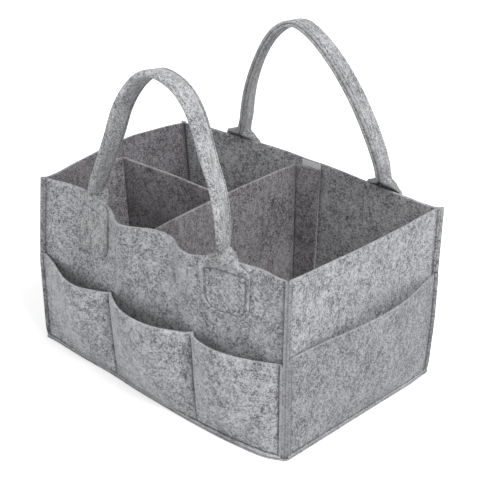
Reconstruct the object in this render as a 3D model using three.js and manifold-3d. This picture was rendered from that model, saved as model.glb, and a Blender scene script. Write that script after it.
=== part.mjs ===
// Felt carry caddy: an open box of grey felt with outside pockets, two arched handles
// and a lift-out T-shaped divider held by hook-and-loop tape.
// Millimetres, +Z up. The origin is under the middle of the base; the long front wall
// faces -Y and the right end wall faces +X.

import * as THREE from "three";
import { mergeVertices } from "three/addons/utils/BufferGeometryUtils.js";
import Module from "manifold-3d";

const wasm = await Module();
wasm.setup();

// Driving dimensions: the box
const caddyLength = 330;
const caddyWidth = 215;
const wallHeight = 180;
const felt = 3;
const layerGap = 0.3;
const longWallBow = 8;
const endWallBow = 3;

// Driving dimensions: seams
const cornerMargin = 7;
const rimReach = 6.5;
const rimFelt = 1.4;
const rimCornerRound = 4;

// Driving dimensions: outside pockets
const pocketHeight = 100;
const longPocketGape = 22;
const endPocketGape = 8;
const pocketSeamOffset = 56;

// Driving dimensions: handles
const legOffset = 91;
const stripHalfWidth = 25;
const handleRise = 154;
const handleLeanRun = 20;
const spineBulge = 7;
const foldStart = 4;
const foldRun = 15;
const foldBendArc = 2.7;
const tabDrop = 54;
const tabCornerRound = 14;

// Driving dimensions: the divider insert
const dividerHeight = 170;
const crossDividerPlace = -10;
const longDividerPlace = 8;
const flapLength = 28;
const tapeWidth = 24;
const tapeThickness = 1;
const loopTapeTopHeight = 178;
const loopTapeFootHeight = 60;
const hookTapeInset = 4;
const flapFootLift = 10;

// Shapes without a length: angles, exponents and counts
const inwardFoldDegrees = 32;
const archRoundnessShare = 1.65;
const pocketCrownShare = 0.75;
const pocketSwellShare = 0.7;
const pocketRowShare = 1.5;
const wallSteps = 24;
const pocketSteps = 12;
const heightSteps = 5;
const flareSteps = 7;
const archSteps = 40;
const patchSteps = 12;

// Felt colours
const feltColour = 0x9d9ea2;
const innerFeltColour = 0x8b888b;
const handleColour = 0xa6a6a9;
const tapeColour = 0xe7e8ea;

const seamStart = layerGap / 2;
const hingeRelief = felt * Math.tan(THREE.MathUtils.degToRad(inwardFoldDegrees)) + layerGap;
const wallFoot = rimFelt + layerGap;
const marginHeight = 2 * rimFelt + layerGap;
const pocketFoot = wallFoot + marginHeight + layerGap;

function feltMaterial(colour) {
  return new THREE.MeshStandardMaterial({ color: colour, roughness: 0.95, metalness: 0 });
}

function meshOf(name, geometry, material) {
  const mesh = new THREE.Mesh(geometry, material);
  mesh.name = name;
  return mesh;
}

// A closed solid from triangles given as corner positions, turned so that its faces point out.
function closedGeometry(corners, triangles) {
  let volume = 0;
  for (const [a, b, c] of triangles) {
    const cross = new THREE.Vector3().crossVectors(corners[b], corners[c]);
    volume += corners[a].dot(cross);
  }
  const turned = volume < 0 ? triangles.map(([a, b, c]) => [a, c, b]) : triangles;
  const geometry = new THREE.BufferGeometry();
  geometry.setAttribute(
    "position",
    new THREE.Float32BufferAttribute(corners.flatMap((corner) => corner.toArray()), 3),
  );
  geometry.setIndex(turned.flat());
  geometry.computeVertexNormals();
  return geometry;
}

// A sheet with thickness: rows of stations, each station a pair of points, one on either face.
function sheetSolid(rows) {
  const rowCount = rows.length;
  const columnCount = rows[0].length;
  const corners = [];
  for (const row of rows) {
    for (const [near, far] of row) {
      corners.push(near, far);
    }
  }
  const at = (row, column, side) => 2 * (row * columnCount + column) + side;
  const triangles = [];
  const quad = (a, b, c, d) => triangles.push([a, b, c], [a, c, d]);
  for (let row = 0; row < rowCount - 1; row += 1) {
    for (let column = 0; column < columnCount - 1; column += 1) {
      quad(at(row, column, 0), at(row, column + 1, 0), at(row + 1, column + 1, 0), at(row + 1, column, 0));
      quad(at(row, column, 1), at(row + 1, column, 1), at(row + 1, column + 1, 1), at(row, column + 1, 1));
    }
  }
  for (let row = 0; row < rowCount - 1; row += 1) {
    const last = columnCount - 1;
    quad(at(row, 0, 0), at(row + 1, 0, 0), at(row + 1, 0, 1), at(row, 0, 1));
    quad(at(row, last, 0), at(row, last, 1), at(row + 1, last, 1), at(row + 1, last, 0));
  }
  for (let column = 0; column < columnCount - 1; column += 1) {
    const last = rowCount - 1;
    quad(at(0, column, 0), at(0, column, 1), at(0, column + 1, 1), at(0, column + 1, 0));
    quad(at(last, column, 0), at(last, column + 1, 0), at(last, column + 1, 1), at(last, column, 1));
  }
  return closedGeometry(corners, triangles);
}

// A solid swept through rings of equal count, closed by a cap at either end.
function ringSolid(rings) {
  const ringSize = rings[0].length;
  const corners = rings.flat();
  const triangles = [];
  for (let ring = 0; ring < rings.length - 1; ring += 1) {
    for (let index = 0; index < ringSize; index += 1) {
      const next = (index + 1) % ringSize;
      const a = ring * ringSize + index;
      const b = ring * ringSize + next;
      triangles.push([a, b, b + ringSize], [a, b + ringSize, a + ringSize]);
    }
  }
  // The ring runs out along one face of the strip and back along the other, so a cap is a
  // ladder between the two faces.
  const half = ringSize / 2;
  const lastRing = (rings.length - 1) * ringSize;
  for (let index = 0; index < half - 1; index += 1) {
    const a = index;
    const b = index + 1;
    const c = ringSize - 2 - index;
    const d = ringSize - 1 - index;
    triangles.push([a, c, b], [a, d, c]);
    triangles.push([lastRing + a, lastRing + b, lastRing + c], [lastRing + a, lastRing + c, lastRing + d]);
  }
  return closedGeometry(corners, triangles);
}

function toManifold(geometry) {
  const bare = geometry.clone();
  bare.deleteAttribute("normal");
  bare.deleteAttribute("uv");
  const merged = mergeVertices(bare);
  return new wasm.Manifold(
    new wasm.Mesh({
      numProp: 3,
      vertProperties: new Float32Array(merged.attributes.position.array),
      triVerts: new Uint32Array(merged.index.array),
    }),
  );
}

function joined(first, second) {
  const mesh = toManifold(first).add(toManifold(second)).getMesh();
  const geometry = new THREE.BufferGeometry();
  geometry.setAttribute("position", new THREE.BufferAttribute(new Float32Array(mesh.vertProperties), 3));
  geometry.setIndex(new THREE.BufferAttribute(new Uint32Array(mesh.triVerts), 1));
  geometry.computeVertexNormals();
  return geometry;
}

// A flat plate between two heights, from an outline given as [along, out] points.
function plate(outline, low, high) {
  const shape = new THREE.Shape(outline.map(([along, out]) => new THREE.Vector2(along, -out)));
  const geometry = new THREE.ExtrudeGeometry(shape, { depth: high - low, bevelEnabled: false });
  geometry.translate(0, 0, low);
  return geometry;
}

function smooth(value) {
  const held = Math.min(Math.max(value, 0), 1);
  return held * held * (3 - 2 * held);
}

// One side of the box in its own frame: "along" runs along the wall, "out" is the distance
// from the middle of the box, and the side is turned about Z into its place afterwards.
class Side {
  constructor(name, turn, length, reach, bow, gape, seams, pocketPlaces) {
    this.name = name;
    this.turn = turn;
    this.half = length / 2;
    this.reach = reach / 2;
    this.bow = bow;
    this.gape = gape;
    this.pocketPlaces = pocketPlaces;
    this.cornerAlong = this.half - felt;
    this.cornerOut = this.reach - felt;
    this.edges = [-this.cornerAlong, ...seams, this.cornerAlong];
  }

  // The wall leans out towards its top, most in the middle of its length.
  bowAt(along, height) {
    const share = Math.min(Math.abs(along) / this.cornerAlong, 1);
    const rise = Math.max(height - wallFoot, 0) / (wallHeight - wallFoot);
    return this.bow * (1 - share * share) * rise;
  }

  inner(along, height) {
    return this.reach - felt + this.bowAt(along, height);
  }

  outer(along, height) {
    return this.reach + this.bowAt(along, height);
  }

  point(along, out, height) {
    return new THREE.Vector3(along, -out, height);
  }

  // A point of the corner seam: "run" along the diagonal from the inner corner, "depth" to
  // the side of this wall.
  seamPoint(run, depth) {
    const along = this.cornerAlong + (run - depth) / Math.SQRT2;
    const out = this.cornerOut + (run + depth) / Math.SQRT2;
    return [along, out];
  }

  // Crease and tip of a layer that turns out into the corner seam, for both of its faces.
  seamStations(depth, faceOut) {
    const tipRun = Math.SQRT2 * felt - seamStart - felt + cornerMargin;
    const inner = [depth, faceOut];
    const outer = [depth + felt, faceOut + felt];
    const crease = [inner, outer].map(([layerDepth, out]) =>
      this.seamPoint(Math.SQRT2 * (out - this.cornerOut) - layerDepth, layerDepth),
    );
    const tip = [inner, outer].map(([layerDepth]) => this.seamPoint(tipRun, layerDepth));
    return { crease, tip };
  }

  // Stations across the whole side at one height, from corner tip to corner tip.
  stations(height, depth, faceOut, samples, faceAt) {
    const { crease, tip } = this.seamStations(depth, faceOut);
    const pairAt = (pair, sign) => pair.map(([along, out]) => this.point(sign * along, out, height));
    const span = samples.map((along) => faceAt(along, height));
    return [pairAt(tip, -1), pairAt(crease, -1), ...span, pairAt(crease, 1), pairAt(tip, 1)];
  }

  // The margins at the foot of the wall and of its pocket panel, turned out and pressed
  // together between the margin of the base and the pocket panel.
  marginPlate() {
    const startOut = this.reach + layerGap;
    const endOut = this.reach + rimReach;
    const inset = Math.SQRT2 * (seamStart + felt + layerGap);
    const endAt = (out) => this.cornerAlong + (out - this.cornerOut) - inset;
    const outline = [
      [-endAt(startOut), startOut],
      [endAt(startOut), startOut],
      [endAt(endOut), endOut],
      [-endAt(endOut), endOut],
    ];
    return plate(outline, wallFoot, wallFoot + marginHeight);
  }

  wall() {
    const samples = [];
    for (let step = 1; step < wallSteps; step += 1) {
      samples.push(this.cornerAlong * ((2 * step) / wallSteps - 1));
    }
    const faceAt = (along, height) => [
      this.point(along, this.inner(along, height), height),
      this.point(along, this.outer(along, height), height),
    ];
    const rows = [wallFoot, wallHeight].map((height) =>
      this.stations(height, seamStart, this.cornerOut, samples, faceAt),
    );
    return sheetSolid(rows);
  }

  // How far the pocket panel stands off the wall: nothing at the seams and the foot, the
  // full gape in the middle of a pocket's mouth.
  gapeAt(along, height) {
    const index = Math.max(this.edges.findIndex((edge) => along < edge), 1);
    const start = this.edges[index - 1];
    const share = (along - start) / (this.edges[index] - start);
    const crown = Math.pow(Math.max(Math.sin(Math.PI * share), 0), pocketCrownShare);
    const rise = (height - pocketFoot) / (pocketHeight - pocketFoot);
    return this.gape * crown * Math.pow(Math.sin((Math.PI / 2) * rise), pocketSwellShare);
  }

  pocketFace(along, height) {
    return this.outer(along, height) + layerGap + this.gapeAt(along, height);
  }

  // The panel of one pocket, counted along the wall. It ends in a corner seam or, next to
  // another pocket, in the upright seam that divides them.
  pocketPanel(index) {
    const start = this.edges[index];
    const end = this.edges[index + 1];
    const isFirst = index === 0;
    const isLast = index === this.edges.length - 2;
    const samples = [];
    for (let step = 1; step < pocketSteps; step += 1) {
      samples.push(start + ((end - start) * step) / pocketSteps);
    }
    const depth = seamStart + felt + layerGap;
    const faceOut = this.reach + layerGap;
    const faceAt = (along, height) => {
      const out = this.pocketFace(along, height);
      const probe = felt / 2;
      const ahead = this.pocketFace(along + probe, height);
      const behind = this.pocketFace(along - probe, height);
      const slope = (ahead - behind) / (2 * probe);
      const length = Math.hypot(1, slope);
      return [
        this.point(along, out, height),
        this.point(along - (felt * slope) / length, out + felt / length, height),
      ];
    };
    const seamPair = (along, height) => {
      const out = this.pocketFace(along, height);
      return [this.point(along, out, height), this.point(along, out + felt, height)];
    };
    const rows = [];
    for (let step = 0; step <= heightSteps; step += 1) {
      const share = Math.pow(step / heightSteps, pocketRowShare);
      const height = pocketFoot + (pocketHeight - pocketFoot) * share;
      const [tipLow, creaseLow, ...rest] = this.stations(height, depth, faceOut, samples, faceAt);
      const [creaseHigh, tipHigh] = rest.splice(-2);
      const low = isFirst ? [tipLow, creaseLow] : [seamPair(start + layerGap / 2, height)];
      const high = isLast ? [creaseHigh, tipHigh] : [seamPair(end - layerGap / 2, height)];
      rows.push([...low, ...rest, ...high]);
    }
    return sheetSolid(rows);
  }

  // A flat sewn piece on either face of the wall, between two ends and with its own foot.
  patch(start, end, top, footAt, near, far) {
    const rowAt = (heightAt) => {
      const stations = [];
      for (let step = 0; step <= patchSteps; step += 1) {
        const along = start + ((end - start) * step) / patchSteps;
        const height = heightAt(along);
        const face = this.outer(along, height);
        stations.push([this.point(along, face + near, height), this.point(along, face + far, height)]);
      }
      return stations;
    };
    return sheetSolid([rowAt(footAt), rowAt(() => top)]);
  }

  handleTab(centre) {
    const foot = wallHeight - tabDrop;
    const flat = stripHalfWidth - tabCornerRound;
    const footAt = (along) => {
      const past = Math.max(Math.abs(along - centre) - flat, 0);
      return foot + tabCornerRound - Math.sqrt(Math.max(tabCornerRound ** 2 - past ** 2, 0));
    };
    return this.patch(
      centre - stripHalfWidth,
      centre + stripHalfWidth,
      wallHeight - layerGap / 2,
      footAt,
      layerGap,
      layerGap + felt,
    );
  }

  // Turns along the arch, from one foot to the other: close together where the strip folds.
  archTurns() {
    const power = 2 / archRoundnessShare;
    const flareTop = foldStart + foldRun;
    const flareEnd = Math.asin(Math.pow(flareTop / handleRise, 1 / power));
    const turns = [];
    for (let step = 0; step < flareSteps; step += 1) {
      turns.push(Math.asin(Math.pow((flareTop * step) / flareSteps / handleRise, 1 / power)));
    }
    for (let step = 0; step <= archSteps; step += 1) {
      turns.push(flareEnd + ((Math.PI - 2 * flareEnd) * step) / archSteps);
    }
    const feet = turns.slice(0, flareSteps);
    return [...turns, ...feet.reverse().map((turn) => Math.PI - turn)];
  }

  // The carrying strip above the wall: flat at its foot, then folded in half along its
  // length with both raw edges towards the inside of the box, and arched over.
  handleArch() {
    const footMiddle = this.outer(legOffset - stripHalfWidth, wallHeight) + layerGap + felt / 2;
    const power = 2 / archRoundnessShare;
    const place = (turn) =>
      new THREE.Vector2(
        -Math.sign(Math.cos(turn)) * Math.pow(Math.abs(Math.cos(turn)), power) * legOffset,
        Math.pow(Math.abs(Math.sin(turn)), power) * handleRise,
      );
    const turns = this.archTurns();
    const rings = turns.map((turn, index) => {
      const small = Math.PI / archSteps / 4;
      const before = place(Math.max(turn - small, 0));
      const after = place(Math.min(turn + small, Math.PI));
      const tangent = after.clone().sub(before).normalize();
      const centre = place(turn);
      const rise = centre.y;
      const bend = (Math.PI / 2) * smooth((rise - foldStart) / foldRun);
      const bulge = spineBulge * smooth(rise / (foldStart + foldRun));
      const spine = footMiddle + bulge - (handleLeanRun * rise) / handleRise;
      const isFoot = index === 0 || index === turns.length - 1;
      return this.foldedRing(centre, tangent, bend, spine, isFoot);
    });
    return ringSolid(rings);
  }

  // One cross-section of the strip: its middle line bends by "bend" on either side of the
  // spine, and both faces lie half a felt away from that line.
  foldedRing(centre, tangent, bend, spine, isFoot) {
    const widths = [-stripHalfWidth, -stripHalfWidth / 2, -foldBendArc, -foldBendArc / 2, 0];
    const stations = [...widths, ...widths.slice(0, -1).reverse().map((width) => -width)];
    const middle = stations.map((width) => {
      const size = Math.abs(width);
      const curved = Math.min(size, foldBendArc);
      const turn = (bend * curved) / foldBendArc;
      const rate = bend / foldBendArc;
      const across = rate > 0 ? Math.sin(turn) / rate : curved;
      const inward = rate > 0 ? (1 - Math.cos(turn)) / rate : 0;
      const straight = size - curved;
      return {
        across: Math.sign(width) * (across + straight * Math.cos(bend)),
        inward: inward + straight * Math.sin(bend),
        normalAcross: Math.sign(width) * Math.sin(turn),
        normalInward: -Math.cos(turn),
      };
    });
    const faceAt = (station, offset) => {
      const across = station.across + offset * station.normalAcross;
      const inward = station.inward + offset * station.normalInward;
      const normal = new THREE.Vector2(-tangent.y, tangent.x);
      const along = centre.x + normal.x * across;
      const lift = isFoot ? layerGap + (hingeRelief * (felt / 2 - offset)) / felt : centre.y + normal.y * across;
      return this.point(along, spine - inward, wallHeight + lift);
    };
    const outside = middle.map((station) => faceAt(station, felt / 2));
    const inside = middle.map((station) => faceAt(station, -felt / 2)).reverse();
    return [...outside, ...inside];
  }
}

const group = new THREE.Group();

const longSeams = [-pocketSeamOffset, pocketSeamOffset];
const longPlaces = ["_left", "_middle", "_right"];
const farPlaces = longPlaces.toReversed();
const sides = [
  new Side("front", 0, caddyLength, caddyWidth, longWallBow, longPocketGape, longSeams, longPlaces),
  new Side("right", Math.PI / 2, caddyWidth, caddyLength, endWallBow, endPocketGape, [], [""]),
  new Side("back", Math.PI, caddyLength, caddyWidth, longWallBow, longPocketGape, longSeams, farPlaces),
  new Side("left", -Math.PI / 2, caddyWidth, caddyLength, endWallBow, endPocketGape, [], [""]),
];
const [front, , back, left] = sides;

const outerFelt = feltMaterial(feltColour);
const innerFelt = feltMaterial(innerFeltColour);
const handleFelt = feltMaterial(handleColour);
const tape = feltMaterial(tapeColour);

const sideGroups = new Map();
for (const side of sides) {
  const turned = new THREE.Group();
  turned.rotation.z = side.turn;
  turned.add(meshOf(`${side.name}_wall`, side.wall(), outerFelt));
  for (const [index, place] of side.pocketPlaces.entries()) {
    turned.add(meshOf(`${side.name}_pocket_panel${place}`, side.pocketPanel(index), outerFelt));
  }
  turned.add(meshOf(`${side.name}_base_margin`, side.marginPlate(), outerFelt));
  sideGroups.set(side.name, turned);
  group.add(turned);
}

// Base: full thickness inside the walls, pressed thin where the seam runs round it
function basePanel() {
  const reachAlong = caddyLength / 2 + rimReach;
  const reachOut = caddyWidth / 2 + rimReach;
  const round = rimCornerRound;
  const outline = [
    [-reachAlong + round, -reachOut],
    [reachAlong - round, -reachOut],
    [reachAlong, -reachOut + round],
    [reachAlong, reachOut - round],
    [reachAlong - round, reachOut],
    [-reachAlong + round, reachOut],
    [-reachAlong, reachOut - round],
    [-reachAlong, -reachOut + round],
  ];
  const insideAlong = caddyLength / 2 - felt - layerGap;
  const insideOut = caddyWidth / 2 - felt - layerGap;
  const floor = [
    [-insideAlong, -insideOut],
    [insideAlong, -insideOut],
    [insideAlong, insideOut],
    [-insideAlong, insideOut],
  ];
  return joined(plate(outline, 0, rimFelt), plate(floor, 0, felt));
}
group.add(meshOf("bottom_panel", basePanel(), outerFelt));

// Handles: one arch and two sewn ends on each long side
for (const side of [front, back]) {
  const turned = sideGroups.get(side.name);
  turned.add(meshOf(`${side.name}_handle`, side.handleArch(), handleFelt));
  const signs = side === front ? { left: -1, right: 1 } : { left: 1, right: -1 };
  for (const [end, sign] of Object.entries(signs)) {
    turned.add(meshOf(`${side.name}_handle_tab_${end}`, side.handleTab(sign * legOffset), handleFelt));
  }
}

// Divider insert: the stack between a wall and a flap is loop tape, hook tape, flap
const loopFar = layerGap + tapeThickness;
const hookNear = loopFar + layerGap;
const hookFar = hookNear + tapeThickness;
const flapNear = hookFar + layerGap;
const flapFar = flapNear + felt;
const dividerFoot = felt + layerGap;

function insertPieces(side, place) {
  const turned = sideGroups.get(side.name);
  const start = place + felt / 2 + layerGap;
  const tapeStart = start + (flapLength - tapeWidth) / 2;
  const footAt = (height) => () => height;
  const inside = (offset) => -felt - offset;
  const flapFoot = dividerFoot + flapFootLift;
  const hookFoot = loopTapeFootHeight + hookTapeInset;
  const hookTop = dividerHeight - hookTapeInset;
  return {
    turned,
    flap: side.patch(start, start + flapLength, dividerHeight, footAt(flapFoot), inside(flapNear), inside(flapFar)),
    hook: side.patch(
      tapeStart,
      tapeStart + tapeWidth,
      hookTop,
      footAt(hookFoot),
      inside(hookNear),
      inside(hookFar),
    ),
    loop: side.patch(
      tapeStart,
      tapeStart + tapeWidth,
      loopTapeTopHeight,
      footAt(loopTapeFootHeight),
      inside(layerGap),
      inside(loopFar),
    ),
  };
}

// Each flap lies on its wall towards +X from the cross divider, or towards -Y from the
// long divider on the left wall. "mirrored" turns a flap that runs the other way.
function mirroredPieces(side, place) {
  const pieces = insertPieces(side, place);
  for (const key of ["flap", "hook", "loop"]) {
    const flipped = pieces[key].clone().applyMatrix4(new THREE.Matrix4().makeScale(-1, 1, 1));
    const index = Array.from(flipped.index.array);
    for (let first = 0; first < index.length; first += 3) {
      [index[first + 1], index[first + 2]] = [index[first + 2], index[first + 1]];
    }
    flipped.setIndex(index);
    flipped.computeVertexNormals();
    pieces[key] = flipped;
  }
  return pieces;
}

const flapSets = {
  front: insertPieces(front, crossDividerPlace),
  back: mirroredPieces(back, crossDividerPlace),
  left: insertPieces(left, -longDividerPlace),
};
for (const [name, pieces] of Object.entries(flapSets)) {
  pieces.turned.add(meshOf(`${name}_divider_flap`, pieces.flap, innerFelt));
  pieces.turned.add(meshOf(`${name}_hook_tape`, pieces.hook, tape));
  pieces.turned.add(meshOf(`${name}_loop_tape`, pieces.loop, tape));
}

// A divider panel standing on the base: its ends follow the lean of the walls it reaches.
function dividerPanel(endsAt) {
  const rows = [];
  for (const height of [dividerFoot, dividerHeight]) {
    const [start, end] = endsAt(height);
    rows.push(
      [start, end].map((place) => [
        new THREE.Vector3(place, -felt / 2, height),
        new THREE.Vector3(place, felt / 2, height),
      ]),
    );
  }
  return sheetSolid(rows);
}

function flapFace(side, place, height) {
  return side.inner(place, height) - flapNear;
}

const crossDivider = new THREE.Group();
crossDivider.position.x = crossDividerPlace;
crossDivider.rotation.z = Math.PI / 2;
const crossPanel = dividerPanel((height) => {
  const end = flapFace(front, crossDividerPlace, height);
  return [-end, end];
});
crossDivider.add(meshOf("cross_divider", crossPanel, innerFelt));
group.add(crossDivider);

const longDivider = new THREE.Group();
longDivider.position.y = longDividerPlace;
const longPanel = dividerPanel((height) => [
  -flapFace(left, longDividerPlace, height),
  crossDividerPlace - felt / 2 - layerGap,
]);
longDivider.add(meshOf("long_divider", longPanel, innerFelt));
group.add(longDivider);

export default group;
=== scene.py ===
"""Grey felt caddy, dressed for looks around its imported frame.

An open box of mottled grey felt with pockets sewn round the outside, two arched carrying
handles folded from one strip each, and a lift-out T-shaped divider on hook-and-loop tape.
Metres, +Z up, the same frame as the CAD. The front wall faces -Y and the right wall +X.
"""

import logging
import math
import random
from dataclasses import dataclass, field
from enum import Enum
from typing import Callable, Iterable, Sequence

import bmesh
import bpy
import numpy as np
from mathutils import Matrix, Vector


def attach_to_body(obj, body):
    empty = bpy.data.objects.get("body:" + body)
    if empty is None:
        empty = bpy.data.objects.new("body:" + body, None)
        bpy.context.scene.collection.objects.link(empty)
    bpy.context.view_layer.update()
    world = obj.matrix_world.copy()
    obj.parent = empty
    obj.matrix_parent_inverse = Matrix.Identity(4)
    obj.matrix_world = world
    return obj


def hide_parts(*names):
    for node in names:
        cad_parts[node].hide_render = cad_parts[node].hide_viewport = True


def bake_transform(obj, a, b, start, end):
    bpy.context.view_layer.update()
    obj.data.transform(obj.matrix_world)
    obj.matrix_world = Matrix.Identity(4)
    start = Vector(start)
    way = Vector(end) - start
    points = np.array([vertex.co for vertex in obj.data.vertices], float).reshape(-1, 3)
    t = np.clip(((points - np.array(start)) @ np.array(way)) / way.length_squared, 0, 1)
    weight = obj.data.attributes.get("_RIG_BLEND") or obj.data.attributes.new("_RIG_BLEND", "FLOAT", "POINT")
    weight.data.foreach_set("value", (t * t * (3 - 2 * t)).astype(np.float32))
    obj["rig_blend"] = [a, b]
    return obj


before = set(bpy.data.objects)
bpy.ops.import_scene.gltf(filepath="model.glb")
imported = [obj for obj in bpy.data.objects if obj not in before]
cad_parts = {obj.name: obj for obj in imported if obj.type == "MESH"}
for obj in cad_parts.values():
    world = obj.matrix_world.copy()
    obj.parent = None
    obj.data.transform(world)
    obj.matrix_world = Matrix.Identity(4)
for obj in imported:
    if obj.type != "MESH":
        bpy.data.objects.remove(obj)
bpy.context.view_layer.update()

LOG = logging.getLogger("felt_caddy")

MM = 0.001

# Sizes shared with the CAD
HALF_LENGTH = 165 * MM
HALF_WIDTH = 107.5 * MM
WALL_HEIGHT = 180 * MM
FELT = 3 * MM
GAP = 0.3 * MM
WALL_FOOT = 1.7 * MM
MARGIN_HEIGHT = 3.1 * MM
POCKET_FOOT = 5.1 * MM
POCKET_HEIGHT = 100 * MM
RIM_REACH = 4.3 * MM
RIM_FELT = 1.4 * MM
SEAM_TIP_RUN = 8.09 * MM
POCKET_SEAM = 56 * MM
STRIP_HALF = 25 * MM
TAB_DROP = 54 * MM
TAB_ROUND = 14 * MM
FOLD_ARC = 2.7 * MM
FOLD_FOOT = -10 * MM
HANDLE_BLEND = (181 * MM, 201 * MM)
CROSS_PLACE = -10 * MM
LONG_PLACE = 8 * MM
DIVIDER_FOOT = 3.3 * MM
DIVIDER_HEIGHT = 170 * MM
FLAP_LENGTH = 28 * MM
TAPE_WIDTH = 24 * MM
TAPE_FELT = 1 * MM

# How far from raw edges and seams a panel has stations of its own
EDGE_STATIONS = (0.9 * MM, 2.2 * MM)
SEAM_STATIONS = (-2.4 * MM, -1.1 * MM, 0.0, 1.1 * MM, 2.4 * MM)

# Sewing
STITCH = 2.9 * MM
STITCH_PITCH = 3.9 * MM
THREAD = 0.36 * MM
GROOVE = 0.9 * MM
CORNER_STITCH_RUN = 4.6 * MM
MARGIN_STITCH_OUT = 3.75 * MM
BOX_STITCH_INSET = 3.4 * MM
EDGE_STITCH_INSET = 3.0 * MM
WALL_SEAM_DEPTH = 1.28 * MM
POCKET_SEAM_DEPTH = 3.9 * MM
BESIDE = 0.5 * MM

# Corner seams, from the tip to the crease: the stations, the pressed felt and how the sewing pulls it in,
# which dents it and darkens its groove, partly pressed felt and partly painted shade
FLANGE_SHARES = (1.0, 0.96, 0.7, 0.36, 0.12)
FLANGE_FELT = (2.7 * MM, 2.65 * MM, 2.6 * MM, 2.6 * MM, 2.8 * MM)
FLANGE_DENTS_AND_SHADES = (0.5, 0.3, 0.26, 0.36)
CREASE_DENTS_AND_SHADES = (0.9, 0.5)
CREASE_INSET = 0.9 * MM
TIP_ROUND = 12 * MM
TIP_INSET = 3.2 * MM

# Their sewing over the pocket and over the wall: depth of the face, start and end
CORNER_SEWING = (
    (5.3 * MM, 9 * MM, POCKET_HEIGHT - 3 * MM),
    (2.7 * MM, POCKET_HEIGHT + 3 * MM, WALL_HEIGHT - 2 * MM),
)

# Where an upright seam pulls a pocket's lip down and dents the felt
LIP_FOOT = 50 * MM
LIP_PULL = 2.4 * MM
LIP_PULL_RUN = 9 * MM
SEAM_DENT = 0.55 * MM

# Handles: stations across half the strip in millimetres, where the twists are given, and runs near the feet
STRIP_PLACES = (
    0.0, 0.7, 1.4, 2.1, 2.8, 3.8, 5.2, 7, 9, 11, 13, 15, 17, 18.6, 19.8, 20.6, 21.4, 22.4, 23.4, 24.3, 25.0,
)  # fmt: skip
TWIST_PLACES = np.array([0.02, 0.13, 0.25, 0.5, 0.75, 0.87, 0.98])
NEAR_RUN = 32 * MM
SEAM_PRESS = 0.9 * MM

# The base's round corners, and where its felt steps down to the margin
BASE_ROUND = 6 * MM
BASE_SEAM_INSET = 1.5 * MM
BASE_STEP_INSET = 2.5 * MM

# Flaps and tapes: where they start from the fold, how far off the wall they lie, and how high they reach
END_OFFSET = 2.9 * MM
FLAP_START = 1.6 * MM
FLAP_FOOT = 10 * MM
FLAP_OFFSET = 4.4 * MM
HOOK_OFFSET = 2.1 * MM
LOOP_OFFSET = 0.8 * MM
HOOK_SPAN = (64 * MM, 166 * MM)
LOOP_SPAN = (60 * MM, 179.4 * MM)
RIM_CHECKS = (177 * MM, WALL_HEIGHT)
CROSS_END = 107 * MM

# Point that the lamps are aimed at
LAMP_TARGET = (0, 0, 0.1)

# Direction along each side of the box, by its turn in degrees
HEADINGS = {0: (1, 0), 90: (0, 1), 180: (-1, 0), -90: (0, -1)}

# Attribute that the felt's pattern is read from
FELT_PLACE = "felt_place"

# A function of two coordinates, and a row of sewing as its points and their normals
Field = Callable[[np.ndarray, np.ndarray], np.ndarray]
StitchRow = tuple[np.ndarray, np.ndarray]


def smooth(value: np.ndarray | float) -> np.ndarray:
    """Ease a value from 0 to 1."""
    held = np.clip(value, 0.0, 1.0)
    return held * held * (3 - 2 * held)


def eased_in(value: np.ndarray, band: tuple[float, float]) -> np.ndarray:
    """Ease from 0 to 1 across a band, given as its start and its run."""
    return smooth((value - band[0]) / band[1])


def bell(off: np.ndarray, width: float) -> np.ndarray:
    """Give 1 on a line and less beside it, by how far off it is and the bell's width."""
    return np.exp(-((off / width) ** 2))


def unit(vectors: np.ndarray) -> np.ndarray:
    """Scale vectors on the last axis to length 1."""
    return vectors / np.maximum(np.linalg.norm(vectors, axis=-1, keepdims=True), 1e-12)


def distances(path: np.ndarray) -> np.ndarray:
    """Give how far along a path each of its points lies."""
    return np.concatenate([[0], np.cumsum(np.linalg.norm(np.diff(path, axis=0), axis=1))])


def waves(seed: int, count: int, low: float, high: float) -> Field:
    """Make a seeded sum of long plane waves, for the uneven lie of felt.

    Args:
        seed: Seed of the random draws.
        count: How many waves are added.
        low: Shortest wave number, per metre.
        high: Longest wave number, per metre.

    Returns:
        A function of two coordinates whose values stay within about -1 to 1.
    """
    draw = random.Random(seed)
    terms = []
    for _ in range(count):
        heading, number = draw.uniform(0, math.tau), draw.uniform(low, high)
        terms.append((math.cos(heading) * number, math.sin(heading) * number, draw.uniform(0, math.tau)))

    def height(first: np.ndarray, second: np.ndarray) -> np.ndarray:
        """Add the waves up at each place."""
        swells = (np.sin(math.tau * (a * first + b * second) + c) for a, b, c in terms)
        return sum(swells) / math.sqrt(count * 2)

    return height


def spread(
    start: float, end: float, step: float, *, soft: bool = True, marks: Iterable[float] = ()
) -> np.ndarray:
    """Place stations along a cut length of felt, closer together at raw edges and at marks.

    Args:
        start: First station.
        end: Last station.
        step: Usual distance between stations.
        soft: Whether both ends are raw edges.
        marks: Places of seams, which get stations of their own.

    Returns:
        The stations in rising order.
    """
    count = max(int(round((end - start) / step)), 1)
    places = list(np.linspace(start, end, count + 1))
    close = [start, end]
    if soft:
        close += [start + inset for inset in EDGE_STATIONS] + [end - inset for inset in EDGE_STATIONS]
    for mark in marks:
        close += [mark + offset for offset in SEAM_STATIONS]
    close = [place for place in close if start <= place <= end]
    room = 0.45 * step
    kept = [place for place in places if place in close or min(abs(place - other) for other in close) > room]
    return np.array(sorted(set(kept) | set(close)))


# The settled shape: one smooth warp that every layer of the box shares


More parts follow.
